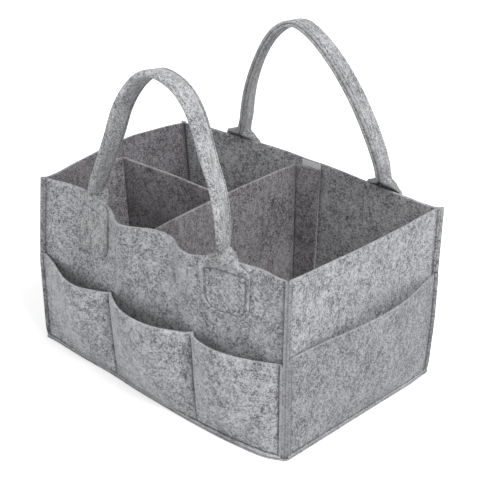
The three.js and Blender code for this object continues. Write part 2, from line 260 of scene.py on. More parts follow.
@dataclass(frozen=True)
class Settling:
    """How the soft box leaves its cut shape: corners pulled, rims waving, the front foot bulging.

    Attributes:
        corner_pull: For each upper corner, its shift in X and Y and how late the shift sets in.
        front_wave: How far the front rim stands out at places along it, in millimetres.
        back_wave: The same for the back rim.
        left_wave: The same for the left rim.
        front_foot: How far the front's foot stands out.
        front_belly: How far the front stands out at the height of its pockets' lips.
        foot_drift: How far the front's foot has moved along the wall.
        belly_drift: The same at the height of the pockets' lips.
        wave_start: Height where a rim's waves begin.
        wave_power: How late they set in.
        fade_end: Height where they have faded out of the handles.
        belly_height: Height of the pockets' lips.
        belly_end: Height where the front's bulge has ended.
        long_band: Start and run, from the middle out, of what the long walls' waves move.
        end_band: The same for the left wall's waves.
        back_corner_foot: How far the foot of the back right corner is pulled in, in X and Y.
        back_corner_bands: Start and run of that pull along X, Y and Z.
    """

    corner_pull: dict = field(
        default_factory=lambda: {
            (-1, -1): (0.6 * MM, 0.6 * MM, 1.0),
            (-1, 1): (-7.5 * MM, -4.0 * MM, 1.6),
            (1, -1): (0.0, 0.0, 1.6),
            (1, 1): (2.0 * MM, 2.4 * MM, 1.6),
        }
    )
    front_wave: tuple = (
        (-165, -6.4), (-153.2, -7.8), (-139.4, -13.1), (-129.6, -14.9), (-117.7, -16.8), (-104, -16),
        (-84.3, -13.2), (-64.6, -6.9), (-48.8, 1.2), (-38.9, 8), (-29.5, 11), (-21, 9.4), (-11.3, 4.4),
        (0.5, -1), (14.2, -3.7), (26.1, -4.1), (35.9, 1.6), (45.8, 7.7), (55.6, 10.9), (63.5, 12), (71.5, 8.6),
        (79.3, 0.7), (96, -3.5), (113.7, -5.2), (133.5, -6), (150.3, -2.7), (165, -2),
    )  # fmt: skip
    back_wave: tuple = (
        (-165, 0), (-150, 4), (-136, 6), (-119, 5.2), (-100, 4.6), (-80, 4.8), (-40, 5),
        (-17, 4), (0, 2.6), (20, 3.2), (31, 2.6), (45, 1.8), (70, -0.6), (90, -2.2),
        (130, -2.4), (150, -2), (165, 0),
    )  # fmt: skip
    left_wave: tuple = (
        (-107, 0), (-84, 0.2), (-65, 2.1), (-50, 3.8), (-39, 4.7), (-26, 6.7), (0, 9.9),
        (20, 11.5), (44, 12.6), (55, 10.9), (65, 9.3), (76, 7.7), (86, 5.8), (96, 3.2),
        (107, 0),
    )  # fmt: skip
    front_foot: tuple = (
        (-165, -3), (-158, -3.2), (-143, -2.3), (-130, -1.2), (-116, 0), (-90, 1.2), (-65, 2.4),
        (-51, 3.8), (-37, 5.4), (-12, 7.3), (11, 8.5), (35, 9.7), (68, 9.7), (98, 8.4),
        (118, 7), (137, 5.6), (148, 4.5), (156, 2.7), (161, 0.7), (165, 0),
    )  # fmt: skip
    front_belly: tuple = (
        (-165, 0), (-150, 0.8), (-130, 2), (-110, 3), (-85, 4), (-56, 4.6), (-30, 5),
        (0, 5), (30, 4.6), (60, 4.2), (90, 3.4), (115, 2.2), (140, 1), (165, 0),
    )  # fmt: skip
    foot_drift: tuple = (
        (-165, 0), (-110, 2.4), (-56, 4.6), (0, 7.6), (56, 10.6), (90, 9.6), (120, 6), (145, 2), (165, 0),
    )  # fmt: skip
    belly_drift: tuple = (
        (-165, 0), (-110, 1.4), (-56, 2.8), (0, 3.6), (56, 4.4), (90, 4), (120, 2.6), (145, 1), (165, 0),
    )  # fmt: skip
    wave_start: float = 88 * MM
    wave_power: float = 1.25
    fade_end: float = 340 * MM
    belly_height: float = 98 * MM
    belly_end: float = 150 * MM
    long_band: tuple[float, float] = (40 * MM, 62 * MM)
    end_band: tuple[float, float] = (95 * MM, 65 * MM)
    back_corner_foot: tuple[float, float] = (2.0 * MM, 2.0 * MM)
    back_corner_bands: tuple = ((125 * MM, 42 * MM), (68 * MM, 42 * MM), (0.0, 70 * MM))

    def fade(self, height: np.ndarray) -> np.ndarray:
        """Give how much of a rim's shift is left above the rim."""
        return 1 - smooth((height - WALL_HEIGHT) / (self.fade_end - WALL_HEIGHT))

    def apply(self, points: np.ndarray, follow: np.ndarray | float = 1.0) -> np.ndarray:
        """Move points of the cut shape to where they have settled.

        Args:
            points: Array whose last axis holds x, y and z.
            follow: How much of the walls' waves each point follows, from 0 to 1.

        Returns:
            A new array of the same shape.
        """
        cut = np.array(points, float)
        moved = cut.copy()
        self.pull_corners(moved, cut)
        self.wave_rims(moved, cut, follow)
        self.spread_foot(moved, cut, follow)
        return moved

    def pull_corners(self, moved: np.ndarray, cut: np.ndarray) -> None:
        """Pull the four upper corners.

        Args:
            moved: Points that are moved in place.
            cut: Where they are in the cut shape.
        """
        x, y, z = np.moveaxis(cut, -1, 0)
        share_x = np.clip(x / HALF_LENGTH, -1.05, 1.05)
        share_y = np.clip(y / HALF_WIDTH, -1.05, 1.05)
        for (sign_x, sign_y), (pull_x, pull_y, power) in self.corner_pull.items():
            rise = np.clip(z / WALL_HEIGHT, 0, 1) ** power * self.fade(z)
            weight = (1 + sign_x * share_x) * (1 + sign_y * share_y) / 4 * rise
            moved[..., 0] += pull_x * weight
            moved[..., 1] += pull_y * weight

    def wave_rims(self, moved: np.ndarray, cut: np.ndarray, follow: np.ndarray | float) -> None:
        """Let the front, back and left walls wave, most at their rims.

        Args:
            moved: Points that are moved in place.
            cut: Where they are in the cut shape.
            follow: How much of the waves each point follows.
        """
        x, y, z = np.moveaxis(cut, -1, 0)
        up = np.clip((z - self.wave_start) / (WALL_HEIGHT - self.wave_start), 0, 1) ** self.wave_power
        up = up * self.fade(z) * follow
        for sign, table in ((-1, self.front_wave), (1, self.back_wave)):
            moved[..., 1] += sign * read_table(x, table) * up * eased_in(sign * y, self.long_band)
        moved[..., 0] -= read_table(y, self.left_wave) * up * eased_in(-x, self.end_band)

    def spread_foot(self, moved: np.ndarray, cut: np.ndarray, follow: np.ndarray | float) -> None:
        """Bulge the lower front with its seams, and pull in the foot of the back right corner.

        Args:
            moved: Points that are moved in place.
            cut: Where they are in the cut shape.
            follow: How much of the bulge each point follows.
        """
        x, y, z = np.moveaxis(cut, -1, 0)
        share = np.clip(z / self.belly_height, 0, 1)
        held = 1 - smooth((z - self.belly_height) / (self.belly_end - self.belly_height))
        held = held * eased_in(-y, self.long_band) * follow
        tables = (self.front_foot, self.front_belly, self.foot_drift, self.belly_drift)
        foot, belly, foot_drift, belly_drift = (read_table(x, table) for table in tables)
        moved[..., 1] -= (foot * (1 - share) + belly * share) * held
        moved[..., 0] += (foot_drift * (1 - share) + belly_drift * share) * held
        along_x, along_y, up = self.back_corner_bands
        corner = eased_in(x, along_x) * eased_in(y, along_y) * (1 - eased_in(z, up))
        moved[..., 0] -= self.back_corner_foot[0] * corner * follow
        moved[..., 1] -= self.back_corner_foot[1] * corner * follow


def eased(value: np.ndarray, places: np.ndarray, sizes: np.ndarray) -> np.ndarray:
    """Interpolate a table by a smooth curve through its values.

    Args:
        value: Where the table is read.
        places: The table's rising places.
        sizes: Its values there.

    Returns:
        The curve's values.
    """
    slopes = np.gradient(sizes, places)
    index = np.clip(np.searchsorted(places, value) - 1, 0, len(places) - 2)
    width = places[index + 1] - places[index]
    share = np.clip((value - places[index]) / width, 0, 1)
    squared, cubed = share**2, share**3
    return (
        (2 * cubed - 3 * squared + 1) * sizes[index]
        + (cubed - 2 * squared + share) * width * slopes[index]
        + (3 * squared - 2 * cubed) * sizes[index + 1]
        + (cubed - squared) * width * slopes[index + 1]
    )


def read_table(value: np.ndarray, table: Sequence[tuple[float, float]]) -> np.ndarray:
    """Read a smooth table of places and sizes, both in millimetres.

    Args:
        value: Where the table is read, in metres.
        table: Pairs of a place and a size.

    Returns:
        The sizes there, in metres.
    """
    places, sizes = np.array(table).T * MM
    return eased(value, places, sizes)


SETTLED = Settling()


# Materials


class Mark(Enum):
    """What each vertex of a panel tells its finish."""

    SEAM = "seam"
    RAW_EDGE = "raw_edge"
    # Painted shade of the box's inside, on the back faces of the sheets
    INNER_SHADE = "lining"
    # Painted shade that darkens a whole cut or part of it
    PAINTED_SHADE = "tone"


class Socket(Enum):
    """Socket types of the shared node groups."""

    VALUE = "NodeSocketFloat"
    COLOUR = "NodeSocketColor"
    VECTOR = "NodeSocketVector"


def linear(code: str) -> tuple[float, float, float, float]:
    """Turn a six-digit sRGB code into a linear colour with full alpha."""
    parts = [int(code[start : start + 2], 16) / 255 for start in (0, 2, 4)]
    return (*(part / 12.92 if part <= 0.04045 else ((part + 0.055) / 1.055) ** 2.4 for part in parts), 1.0)


class NodeSheet:
    """A small helper that places and links shader nodes in one tree."""

    def __init__(self, tree: bpy.types.NodeTree) -> None:
        """Keep the tree that the nodes go into."""
        self.tree = tree

    def node(self, kind: str, inputs: dict | None = None, **settings: object) -> bpy.types.Node:
        """Add a node, set its properties and fill or link its inputs.

        Args:
            kind: Node type name.
            inputs: Input name or index to a value, or to an output socket to link.
            **settings: Properties of the node.

        Returns:
            The new node.
        """
        made = self.tree.nodes.new(kind)
        for name, value in settings.items():
            setattr(made, name, value)
        for name, value in (inputs or {}).items():
            if isinstance(value, bpy.types.NodeSocket):
                self.tree.links.new(value, made.inputs[name])
            else:
                made.inputs[name].default_value = value
        return made

    def math(self, operation: str, *values: object) -> bpy.types.NodeSocket:
        """Add a Math node and give its output."""
        return self.node("ShaderNodeMath", dict(enumerate(values)), operation=operation).outputs[0]

    def ramp(
        self, value: object, low: float, high: float, start: float = 0.0, end: float = 1.0
    ) -> bpy.types.NodeSocket:
        """Map a value smoothly from low..high to start..end and give the output."""
        inputs = {"Value": value, "From Min": low, "From Max": high, "To Min": start, "To Max": end}
        return self.node("ShaderNodeMapRange", inputs, interpolation_type="SMOOTHSTEP").outputs["Result"]

    def mix(self, share: object, first: object, second: object, blend: str = "MIX") -> bpy.types.NodeSocket:
        """Mix two colours and give the result."""
        inputs = {0: share, 6: first, 7: second}
        return self.node("ShaderNodeMix", inputs, data_type="RGBA", blend_type=blend).outputs[2]

    def noise(
        self, place: object, scale: float, detail: float = 2.0, rough: float = 0.5, bend: float = 0.0
    ) -> bpy.types.NodeSocket:
        """Add a Noise Texture and give its value."""
        inputs = {"Vector": place, "Scale": scale, "Detail": detail, "Roughness": rough, "Distortion": bend}
        return self.node("ShaderNodeTexNoise", inputs, noise_dimensions="3D").outputs["Fac"]

    def shifted(
        self,
        place: object,
        shift: Sequence[float],
        turn: Sequence[float] = (0, 0, 0),
        scale: Sequence[float] = (1, 1, 1),
    ) -> bpy.types.NodeSocket:
        """Move, turn and stretch a pattern's coordinates."""
        inputs = {"Vector": place, "Location": shift, "Rotation": turn, "Scale": scale}
        return self.node("ShaderNodeMapping", inputs).outputs["Vector"]

    def bump(self, height: object, strength: float, distance: float) -> bpy.types.NodeSocket:
        """Add a Bump node and give its normal."""
        inputs = {"Height": height, "Strength": strength, "Distance": distance}
        return self.node("ShaderNodeBump", inputs).outputs[0]

    def surface(self, **inputs: object) -> None:
        """Add the Principled shader and the output, from inputs named with underscores for spaces."""
        named = {name.replace("_", " "): value for name, value in inputs.items()}
        shader = self.node("ShaderNodeBsdfPrincipled", named)
        self.node("ShaderNodeOutputMaterial", {"Surface": shader.outputs["BSDF"]})

    def seen_rays(self) -> bpy.types.NodeSocket:
        """Tell what is seen from what only lights.

        Returns:
            An output of 1 for rays of the camera, of mirrors and of glass, and of 0 for all others.
        """
        rays = self.node("ShaderNodeLightPath").outputs
        seen = self.math("MAXIMUM", rays["Is Camera Ray"], rays["Is Glossy Ray"])
        return self.math("MAXIMUM", seen, rays["Is Transmission Ray"])


def new_material(name: str) -> tuple[bpy.types.Material, NodeSheet]:
    """Start an empty node material.

    Args:
        name: Name of the material.

    Returns:
        The material and a helper for its nodes.
    """
    made = bpy.data.materials.new(name)
    made.use_nodes = True
    made.node_tree.nodes.clear()
    return made, NodeSheet(made.node_tree)


def new_group(
    name: str, inputs: dict[str, Socket], outputs: dict[str, Socket]
) -> tuple[bpy.types.NodeTree, NodeSheet, bpy.types.Node, bpy.types.Node]:
    """Start a shared node group.

    Args:
        name: Name of the group.
        inputs: Its input sockets.
        outputs: Its output sockets.

    Returns:
        The group, a helper for it, and its input and output nodes.
    """
    group = bpy.data.node_groups.new(name, "ShaderNodeTree")
    for label, kind in inputs.items():
        group.interface.new_socket(label, in_out="INPUT", socket_type=kind.value)
    for label, kind in outputs.items():
        group.interface.new_socket(label, in_out="OUTPUT", socket_type=kind.value)
    sheet = NodeSheet(group)
    return group, sheet, sheet.node("NodeGroupInput"), sheet.node("NodeGroupOutput")


def heather_group() -> bpy.types.NodeTree:
    """Build the mottle of pressed grey wool-like fibres, light and dark ones tangled together.

    Returns:
        A group with a fleck mask and a height, from a place in metres.
    """
    inputs = {"Place": Socket.VECTOR, "Fleck": Socket.VALUE, "Sharpness": Socket.VALUE}
    outputs = {"Mask": Socket.VALUE, "Height": Socket.VALUE}
    group, sheet, source, result = new_group("heather_fibres", inputs, outputs)
    place = source.outputs["Place"]
    inputs = {0: place, "Scale": source.outputs["Fleck"]}
    scaled = sheet.node("ShaderNodeVectorMath", inputs, operation="SCALE").outputs[0]
    tuft_place = sheet.shifted(scaled, (3.1, 7.7, 1.9), (0.5, 0.3, 0.9), (0.8, 2.1, 1.5))
    speck_place = sheet.shifted(scaled, (9.4, 2.2, 5.3), (0.2, 1.1, 0.4), (2.3, 0.9, 1.7))
    cloud_place = sheet.shifted(scaled, (1.4, 6.1, 8.3), (0.9, 0.2, 0.6), (1.0, 1.5, 0.8))
    blotch = sheet.noise(scaled, 1.0, 2.0, 0.6, 0.9)
    tuft = sheet.noise(tuft_place, 1.25, 2.5, 0.6, 0.6)
    speck = sheet.noise(speck_place, 1.9, 2.0, 0.6, 0.3)
    cloud = sheet.noise(cloud_place, 0.34, 2.0, 0.55, 0.8)
    drift = sheet.noise(scaled, 0.09, 2.0, 0.5, 0.0)
    heap = sheet.math("MULTIPLY", sheet.math("SUBTRACT", drift, 0.5), 0.12)
    for layer, weight in ((blotch, 0.27), (tuft, 0.34), (speck, 0.40), (cloud, 0.19)):
        heap = sheet.math("ADD", heap, sheet.math("MULTIPLY", sheet.math("SUBTRACT", layer, 0.5), weight))
    centred = sheet.math("MULTIPLY", heap, source.outputs["Sharpness"])
    mask = sheet.ramp(sheet.math("ADD", centred, 0.51), 0.0, 1.0)
    strands = []
    for number, turn in enumerate(((0.4, 0.2, 0.1), (1.2, 0.9, 0.5))):
        strand_place = sheet.shifted(scaled, (number * 4.0, 1.5, 2.5), turn, (0.7, 1.3, 1.0))
        strand = sheet.noise(strand_place, 1.15, 1.5, 0.5, 1.2)
        off_line = sheet.math("ABSOLUTE", sheet.math("SUBTRACT", strand, 0.5))
        broken = sheet.noise(sheet.shifted(scaled, (2.0, number * 7.0, 6.5), turn), 0.8, 1.0)
        line = sheet.ramp(off_line, 0.0, 0.05, 1.0, 0.0)
        strands.append(sheet.math("MULTIPLY", line, sheet.ramp(broken, 0.42, 0.58)))
    light_strand, dark_strand = strands
    lifted = sheet.math("ADD", mask, sheet.math("MULTIPLY", light_strand, 0.42))
    lowered = sheet.math("SUBTRACT", lifted, sheet.math("MULTIPLY", dark_strand, 0.17))
    final = sheet.node("ShaderNodeClamp", {"Value": lowered}).outputs[0]
    height = sheet.math("ADD", sheet.math("MULTIPLY", mask, 0.6), sheet.math("MULTIPLY", light_strand, 0.5))
    sheet.tree.links.new(final, result.inputs["Mask"])
    sheet.tree.links.new(height, result.inputs["Height"])
    return group


def seam_group() -> bpy.types.NodeTree:
    """Build the darkened, dented groove that a seam pulls in, the paler raw edge, and painted shade.

    The groove's darkening is partly pressed felt and partly painted shade; the raw edge's paleness is partly
    its open fibres and partly painted highlight where it catches light. Inner faces and darker cuts get painted
    shade.

    Returns:
        A group that takes a felt colour and gives it back changed, with the dent's height.
    """
    inputs = {"Colour": Socket.COLOUR, "Shade": Socket.COLOUR, "Pale": Socket.COLOUR, "Place": Socket.VECTOR}
    outputs = {"Colour": Socket.COLOUR, "Height": Socket.VALUE}
    group, sheet, source, result = new_group("seam_and_edge", inputs, outputs)
    seam, edge, lining, tone = (
        sheet.node("ShaderNodeAttribute", attribute_name=mark.value).outputs["Fac"] for mark in Mark
    )
    ragged = sheet.noise(source.outputs["Place"], 900.0, 2.0)
    # Painted shade in a seam's groove, partly the darker look of pressed felt
    groove_shade = sheet.math("MULTIPLY", seam, sheet.ramp(ragged, 0.2, 0.7, 0.55, 1.0))
    # Painted shade of the box's inside, slightly purple, on inner faces
    inner_shaded = sheet.mix(lining, source.outputs["Colour"], (0.56, 0.52, 0.54, 1.0), "MULTIPLY")
    # Painted shade of darker cuts
    shade_dimmed = sheet.mix(tone, inner_shaded, (0.55, 0.56, 0.57, 1.0), "MULTIPLY")
    darker = sheet.mix(groove_shade, shade_dimmed, source.outputs["Shade"])
    # Paler raw edge: partly its open fibres, partly painted highlight where it catches light
    edge_fibre_and_highlight = sheet.math("MULTIPLY", edge, sheet.ramp(ragged, 0.35, 0.65, 0.1, 0.7))
    paler = sheet.mix(edge_fibre_and_highlight, darker, source.outputs["Pale"])
    sheet.tree.links.new(paler, result.inputs["Colour"])
    sheet.tree.links.new(sheet.math("MULTIPLY", seam, -1.0), result.inputs["Height"])
    return group


@dataclass(frozen=True)
class FeltFinish:
    """Mottled needle felt: dark and light fibres, dull, with a thin nap."""

    name: str
    dark: str
    light: str
    # Darker colour of seam grooves: partly pressed felt, partly painted shade
    shade: str
    # Paler colour of raw edges: partly open fibres, partly painted highlight
    pale: str
    fleck: float = 400.0
    sharpness: float = 4.6
    sheen: float = 0.25

    def material(self, groups: dict[str, bpy.types.NodeTree]) -> bpy.types.Material:
        """Build the material from the shared groups.

        Args:
            groups: The shared node groups by name.

        Returns:
            The material.
        """
        made, sheet = new_material(self.name)
        place = sheet.node("ShaderNodeAttribute", attribute_name=FELT_PLACE).outputs["Vector"]
        inputs = {"Place": place, "Fleck": self.fleck, "Sharpness": self.sharpness}
        heather = sheet.node("ShaderNodeGroup", inputs, node_tree=groups["heather"])
        mottled = sheet.mix(heather.outputs["Mask"], linear(self.dark), linear(self.light))
        inputs = {"Colour": mottled, "Place": place, "Shade": linear(self.shade), "Pale": linear(self.pale)}
        seamed = sheet.node("ShaderNodeGroup", inputs, node_tree=groups["seam"])
        nap = sheet.math("MULTIPLY", sheet.noise(place, 2600.0, 2.0, 0.6), 0.5)
        height = sheet.math("ADD", sheet.math("MULTIPLY", heather.outputs["Height"], 0.7), nap)
        sheet.surface(
            Base_Color=seamed.outputs["Colour"],
            Roughness=sheet.ramp(heather.outputs["Mask"], 0.0, 1.0, 0.98, 0.88),
            Normal=sheet.bump(height, 0.55, 0.45 * MM),
            Specular_IOR_Level=0.15,
            Sheen_Weight=self.sheen,
            Sheen_Roughness=0.6,
        )
        return made


class TapeFace(Enum):
    """The two faces of hook-and-loop tape."""

    HOOK = "hook"
    LOOP = "loop"


@dataclass(frozen=True)
class TapeFinish:
    """White woven tape with a face of hooks or of brushed loops."""

    name: str
    face: TapeFace
    ground: str = "E4E5E8"
    tip: str = "F1F2F3"

    def material(self) -> bpy.types.Material:
        """Build the material, read from Object coordinates.

        Returns:
            The material.
        """
        made, sheet = new_material(self.name)
        place = sheet.node("ShaderNodeTexCoord").outputs["Object"]
        if self.face is TapeFace.HOOK:
            inputs = {"Vector": place, "Scale": 950.0, "Randomness": 0.25}
            cells = sheet.node("ShaderNodeTexVoronoi", inputs, feature="F1").outputs["Distance"]
            pile = sheet.ramp(cells, 0.15, 0.45, 1.0, 0.0)
        else:
            curls = sheet.math("SUBTRACT", sheet.noise(place, 1500.0, 2.0, 0.6, 2.0), 0.5)
            pile = sheet.ramp(sheet.math("ABSOLUTE", curls), 0.0, 0.12, 1.0, 0.0)
        weave = sheet.math("MULTIPLY", sheet.noise(place, 3200.0, 1.0), 0.35)
        sheet.surface(
            Base_Color=sheet.mix(pile, linear(self.ground), linear(self.tip)),
            Roughness=sheet.ramp(pile, 0.0, 1.0, 0.75, 0.55),
            Normal=sheet.bump(sheet.math("ADD", pile, weave), 0.6, 0.35 * MM),
            Specular_IOR_Level=0.3,
            Sheen_Weight=0.15,
        )
        return made


@dataclass(frozen=True)
class ThreadFinish:
    """Twisted polyester sewing thread."""

    name: str
    dark: str
    light: str

    def material(self) -> bpy.types.Material:
        """Build the material, whose twist is read from Object coordinates.

        Returns:
            The material.
        """
        made, sheet = new_material(self.name)
        place = sheet.node("ShaderNodeTexCoord").outputs["Object"]
        turned = sheet.shifted(place, (0, 0, 0), (0.6, 0.5, 0.7))
        inputs = {"Vector": turned, "Scale": 900.0, "Distortion": 1.5, "Detail": 1.0}
        twist = sheet.node("ShaderNodeTexWave", inputs, wave_type="BANDS").outputs["Fac"]
        sheet.surface(
            Base_Color=sheet.mix(twist, linear(self.dark), linear(self.light)),
            Roughness=sheet.ramp(twist, 0.0, 1.0, 0.75, 0.5),
            Normal=sheet.bump(twist, 0.5, 0.1 * MM),
            Sheen_Weight=0.1,
        )
        return made


class Wardrobe:
    """All finishes of the caddy, built once."""

    def __init__(self) -> None:
        """Build the shared groups and every material."""
        groups = {"heather": heather_group(), "seam": seam_group()}
        outer = FeltFinish("outer_felt", "47484C", "C9CACE", "3A3A3E", "ABACAF")
        handle = FeltFinish("handle_felt", "505154", "CECFD2", "404145", "B2B3B5")
        # The dividers' darker, slightly purple felt is painted shade of the box's inside
        divider = FeltFinish("divider_felt", "3B383B", "ABA7AA", "302E30", "8F8C8F")
        self.outer = outer.material(groups)
        self.handle = handle.material(groups)
        self.divider = divider.material(groups)
        self.hook = TapeFinish("hook_tape", TapeFace.HOOK).material()
        self.loop = TapeFinish("loop_tape", TapeFace.LOOP).material()
        self.thread = ThreadFinish("grey_thread", "4C4D50", "77787C").material()


# Felt panels


@dataclass
class Panel:
    """One cut of felt: a grid of stations on its middle surface, with thickness and marks.

    Attributes:
        grid: Middle surface, shaped (columns, rows, 3).
        thickness: One thickness, or one for each station.
        seam: Share of a seam's pull at each station, which dents the felt and darkens it with painted shade, or
            None.
        soft: Depth of the rounding at the raw edges, once or for each station.
        inner_shaded: How much painted shade of the box's inside the back of the sheet gets.
        tone: How much darker this cut is on both faces, as painted shade, once or for each station.
    """

    grid: np.ndarray
    thickness: float | np.ndarray = FELT
    seam: np.ndarray | None = None
    soft: float | np.ndarray = 0.55 * MM
    inner_shaded: float = 0.0
    tone: float | np.ndarray = 0.0

    def normals(self) -> np.ndarray:
        """Work out which way the sheet faces.

        Returns:
            The unit normal at each station, from its neighbours.
        """
        along = np.gradient(self.grid, axis=0)
        across = np.gradient(self.grid, axis=1)
        return unit(np.cross(along, across))

    def outward(self) -> np.ndarray:
        """Work out which way leads off the sheet.

        Returns:
            The direction at each station of its border, and zero inside.
        """
        out = np.zeros_like(self.grid)
        for axis in (0, 1):
            grid = np.moveaxis(self.grid, axis, 0)
            push = np.moveaxis(out, axis, 0)
            for border, inside in ((0, 1), (-1, -2)):
                push[border] += unit(grid[border] - grid[inside])
        return out

    def add_to(self, mesh: bmesh.types.BMesh) -> None:
        """Make the sheet from a flat grid, give it a body and lay its vertices in place.

        Args:
            mesh: The mesh that takes the sheet, with a layer for each mark.
        """
        columns, rows = self.grid.shape[0] - 1, self.grid.shape[1] - 1
        sheet = bmesh.new()
        bmesh.ops.create_grid(sheet, x_segments=columns, y_segments=rows, size=0.5)
        bmesh.ops.solidify(sheet, geom=sheet.faces[:], thickness=1.0)
        rim = [edge for edge in sheet.edges if abs(edge.verts[0].co.z - edge.verts[1].co.z) > 0.5]
        bmesh.ops.subdivide_edges(sheet, edges=rim, cuts=1)
        sheet.verts.ensure_lookup_table()
        flat = np.array([vertex.co[:] for vertex in sheet.verts])
        column = np.rint((flat[:, 0] + 0.5) * columns).astype(int)
        row = np.rint((flat[:, 1] + 0.5) * rows).astype(int)
        side = flat[:, 2] + 0.5
        border = (column == 0) | (column == columns) | (row == 0) | (row == rows)
        thickness = np.broadcast_to(self.thickness, self.grid.shape[:2])[column, row]
        depth = side * thickness * np.where(border, 0.74, 1.0)
        soft = np.broadcast_to(self.soft, self.grid.shape[:2])[column, row]
        pull = np.where(np.abs(side) > 0.25, soft, 0.0) * border
        placed = self.grid[column, row] + self.normals()[column, row] * depth[:, None]
        placed -= self.outward()[column, row] * pull[:, None]
        seam = np.zeros(len(flat)) if self.seam is None else self.seam[column, row]
        start = len(mesh.verts)
        for place in placed:
            mesh.verts.new(place)
        mesh.verts.ensure_lookup_table()
        # Painted shade of darker cuts, on both faces
        tone = np.broadcast_to(self.tone, self.grid.shape[:2])[column, row]
        # Painted shade of the box's inside, on the back face only
        lining = (0.5 - side) * self.inner_shaded
        marks = {Mark.SEAM: seam, Mark.RAW_EDGE: border, Mark.INNER_SHADE: lining, Mark.PAINTED_SHADE: tone}
        layers = [(mesh.verts.layers.float[mark.value], values) for mark, values in marks.items()]
        for index in range(len(placed)):
            for layer, values in layers:
                mesh.verts[start + index][layer] = float(values[index])
        for face in sheet.faces:
            mesh.faces.new([mesh.verts[start + corner.index] for corner in face.verts])
        sheet.free()


def felt_piece(
    name: str, panels: Sequence[Panel], material: bpy.types.Material, levels: int = 1
) -> bpy.types.Object:
    """Make one object from the panels sewn into it.

    Args:
        name: Name of the piece.
        panels: Its cuts of felt, in their settled places.
        material: Its finish.
        levels: Subdivision levels.

    Returns:
        The new object, at the origin.
    """
    mesh = bmesh.new()
    for mark in Mark:
        mesh.verts.layers.float.new(mark.value)
    for panel in panels:
        panel.add_to(mesh)
    bmesh.ops.recalc_face_normals(mesh, faces=mesh.faces[:])
    return finish_piece(name, mesh, material, levels)


def finish_piece(
    name: str, mesh: bmesh.types.BMesh, material: bpy.types.Material, levels: int = 0
) -> bpy.types.Object:
    """Turn a mesh into a shaded object at the origin.

    Args:
        name: Name of the piece.
        mesh: Its mesh, which is freed.
        material: Its finish.
        levels: Subdivision levels, or 0.

    Returns:
        The new object.
    """
    data = bpy.data.meshes.new(name)
    mesh.to_mesh(data)
    mesh.free()
    data.shade_smooth()
    places = np.empty(len(data.vertices) * 3)
    data.vertices.foreach_get("co", places)
    data.attributes.new(FELT_PLACE, "FLOAT_VECTOR", "POINT").data.foreach_set("vector", places)
    made = bpy.data.objects.new(name, data)
    bpy.context.scene.collection.objects.link(made)
    data.materials.append(material)
    if levels:
        modifier = made.modifiers.new("soften", "SUBSURF")
        modifier.levels = modifier.render_levels = levels
    return made


def stitches(
    mesh: bmesh.types.BMesh,
    path: np.ndarray,
    normals: np.ndarray,
    pitch: float = STITCH_PITCH,
    lift: float = 0.1 * MM,
) -> None:
    """Sew a row of stitches along a path, as short threads that sink in at both ends.

    Args:
        mesh: The mesh that takes the threads.
        path: Points on the felt's face.
        normals: Unit normals of the face at those points.
        pitch: Distance from one stitch to the next.
        lift: How far the thread's middle stands off the face.
    """
    travelled = distances(path)
    count = int(travelled[-1] / pitch)
    for number in range(count):
        centre_at = (number + 0.5) * travelled[-1] / count
        centre, before, after, up = (
            np.array([np.interp(at, travelled, values[:, axis]) for axis in range(3)])
            for at, values in (
                (centre_at, path),
                (centre_at - STITCH / 2, path),
                (centre_at + STITCH / 2, path),
                (centre_at, normals),
            )
        )
        run = Vector(after - before).normalized()
        rise = Vector(up)
        rise = (rise - run * rise.dot(run)).normalized()
        turn = Matrix((run, rise.cross(run), rise)).transposed().to_4x4()
        size = Matrix.Diagonal((STITCH / 2, THREAD, THREAD, 1.0))
        place = Matrix.Translation(Vector(centre) + rise * lift)
        bmesh.ops.create_uvsphere(mesh, u_segments=6, v_segments=4, radius=1.0, matrix=place @ turn @ size)


def sewn(path: np.ndarray, beside: np.ndarray, out: Sequence[float]) -> StitchRow:
    """Give a row of sewing on a surface from its line and a second line just beside it.

    Args:
        path: Points on the surface.
        beside: Points on the same surface, a little to one side.
        out: Rough direction out of the surface.

    Returns:
        The path and its unit normals.
    """
    normals = unit(np.cross(np.gradient(path, axis=0), beside - path))
    turned = np.sign(normals @ np.asarray(out, float))
    return path, normals * np.where(turned == 0, 1, turned)[:, None]


def rounded_rectangle(half: float, low: float, high: float, corner: float) -> np.ndarray:
    """Draw a closed box-stitch line with round lower corners.

    Args:
        half: Half its width.
        low: Its lower edge.
        high: Its upper edge.
        corner: Radius of the lower corners.

    Returns:
        Points of the line, as across and up, a millimetre or two apart.
    """
    turn = np.linspace(0, math.pi / 2, 9)
    right = np.stack([half - corner + corner * np.sin(turn), low + corner - corner * np.cos(turn)], axis=1)
    left = right[::-1] * (-1, 1)
    corners = np.concatenate([[(-half, high)], left, right, [(half, high), (-half, high)]])
    travelled = distances(corners)
    at = np.linspace(0, travelled[-1], int(travelled[-1] / (1.5 * MM)))
    return np.stack([np.interp(at, travelled, corners[:, axis]) for axis in (0, 1)], axis=1)


def thread_piece(name: str, rows: Iterable[StitchRow], material: bpy.types.Material) -> bpy.types.Object:
    """Make one object from several rows of stitches.

    Args:
        name: Name of the piece.
        rows: Paths with their normals.
        material: Thread finish.

    Returns:
        The new object.
    """
    whole = bmesh.new()
    for path, normals in rows:
        row = bmesh.new()
        stitches(row, path, normals)
        loose = bpy.data.meshes.new("row")
        row.to_mesh(loose)
        row.free()
        whole.from_mesh(loose)
        bpy.data.meshes.remove(loose)
    return finish_piece(name, whole, material)


# The box


@dataclass(frozen=True)
class Pocket:
    """One pocket of a strip.

    Attributes:
        start: Its first sewn end along the wall.
        end: Its last one.
        gape: How far its mouth stands off the wall.
        skew: Where it does most: 1 in the middle, more towards the end.
        peak: How suddenly it rises there.
    """

    start: float
    end: float
    gape: float
    skew: float = 1.0
    peak: float = 0.8


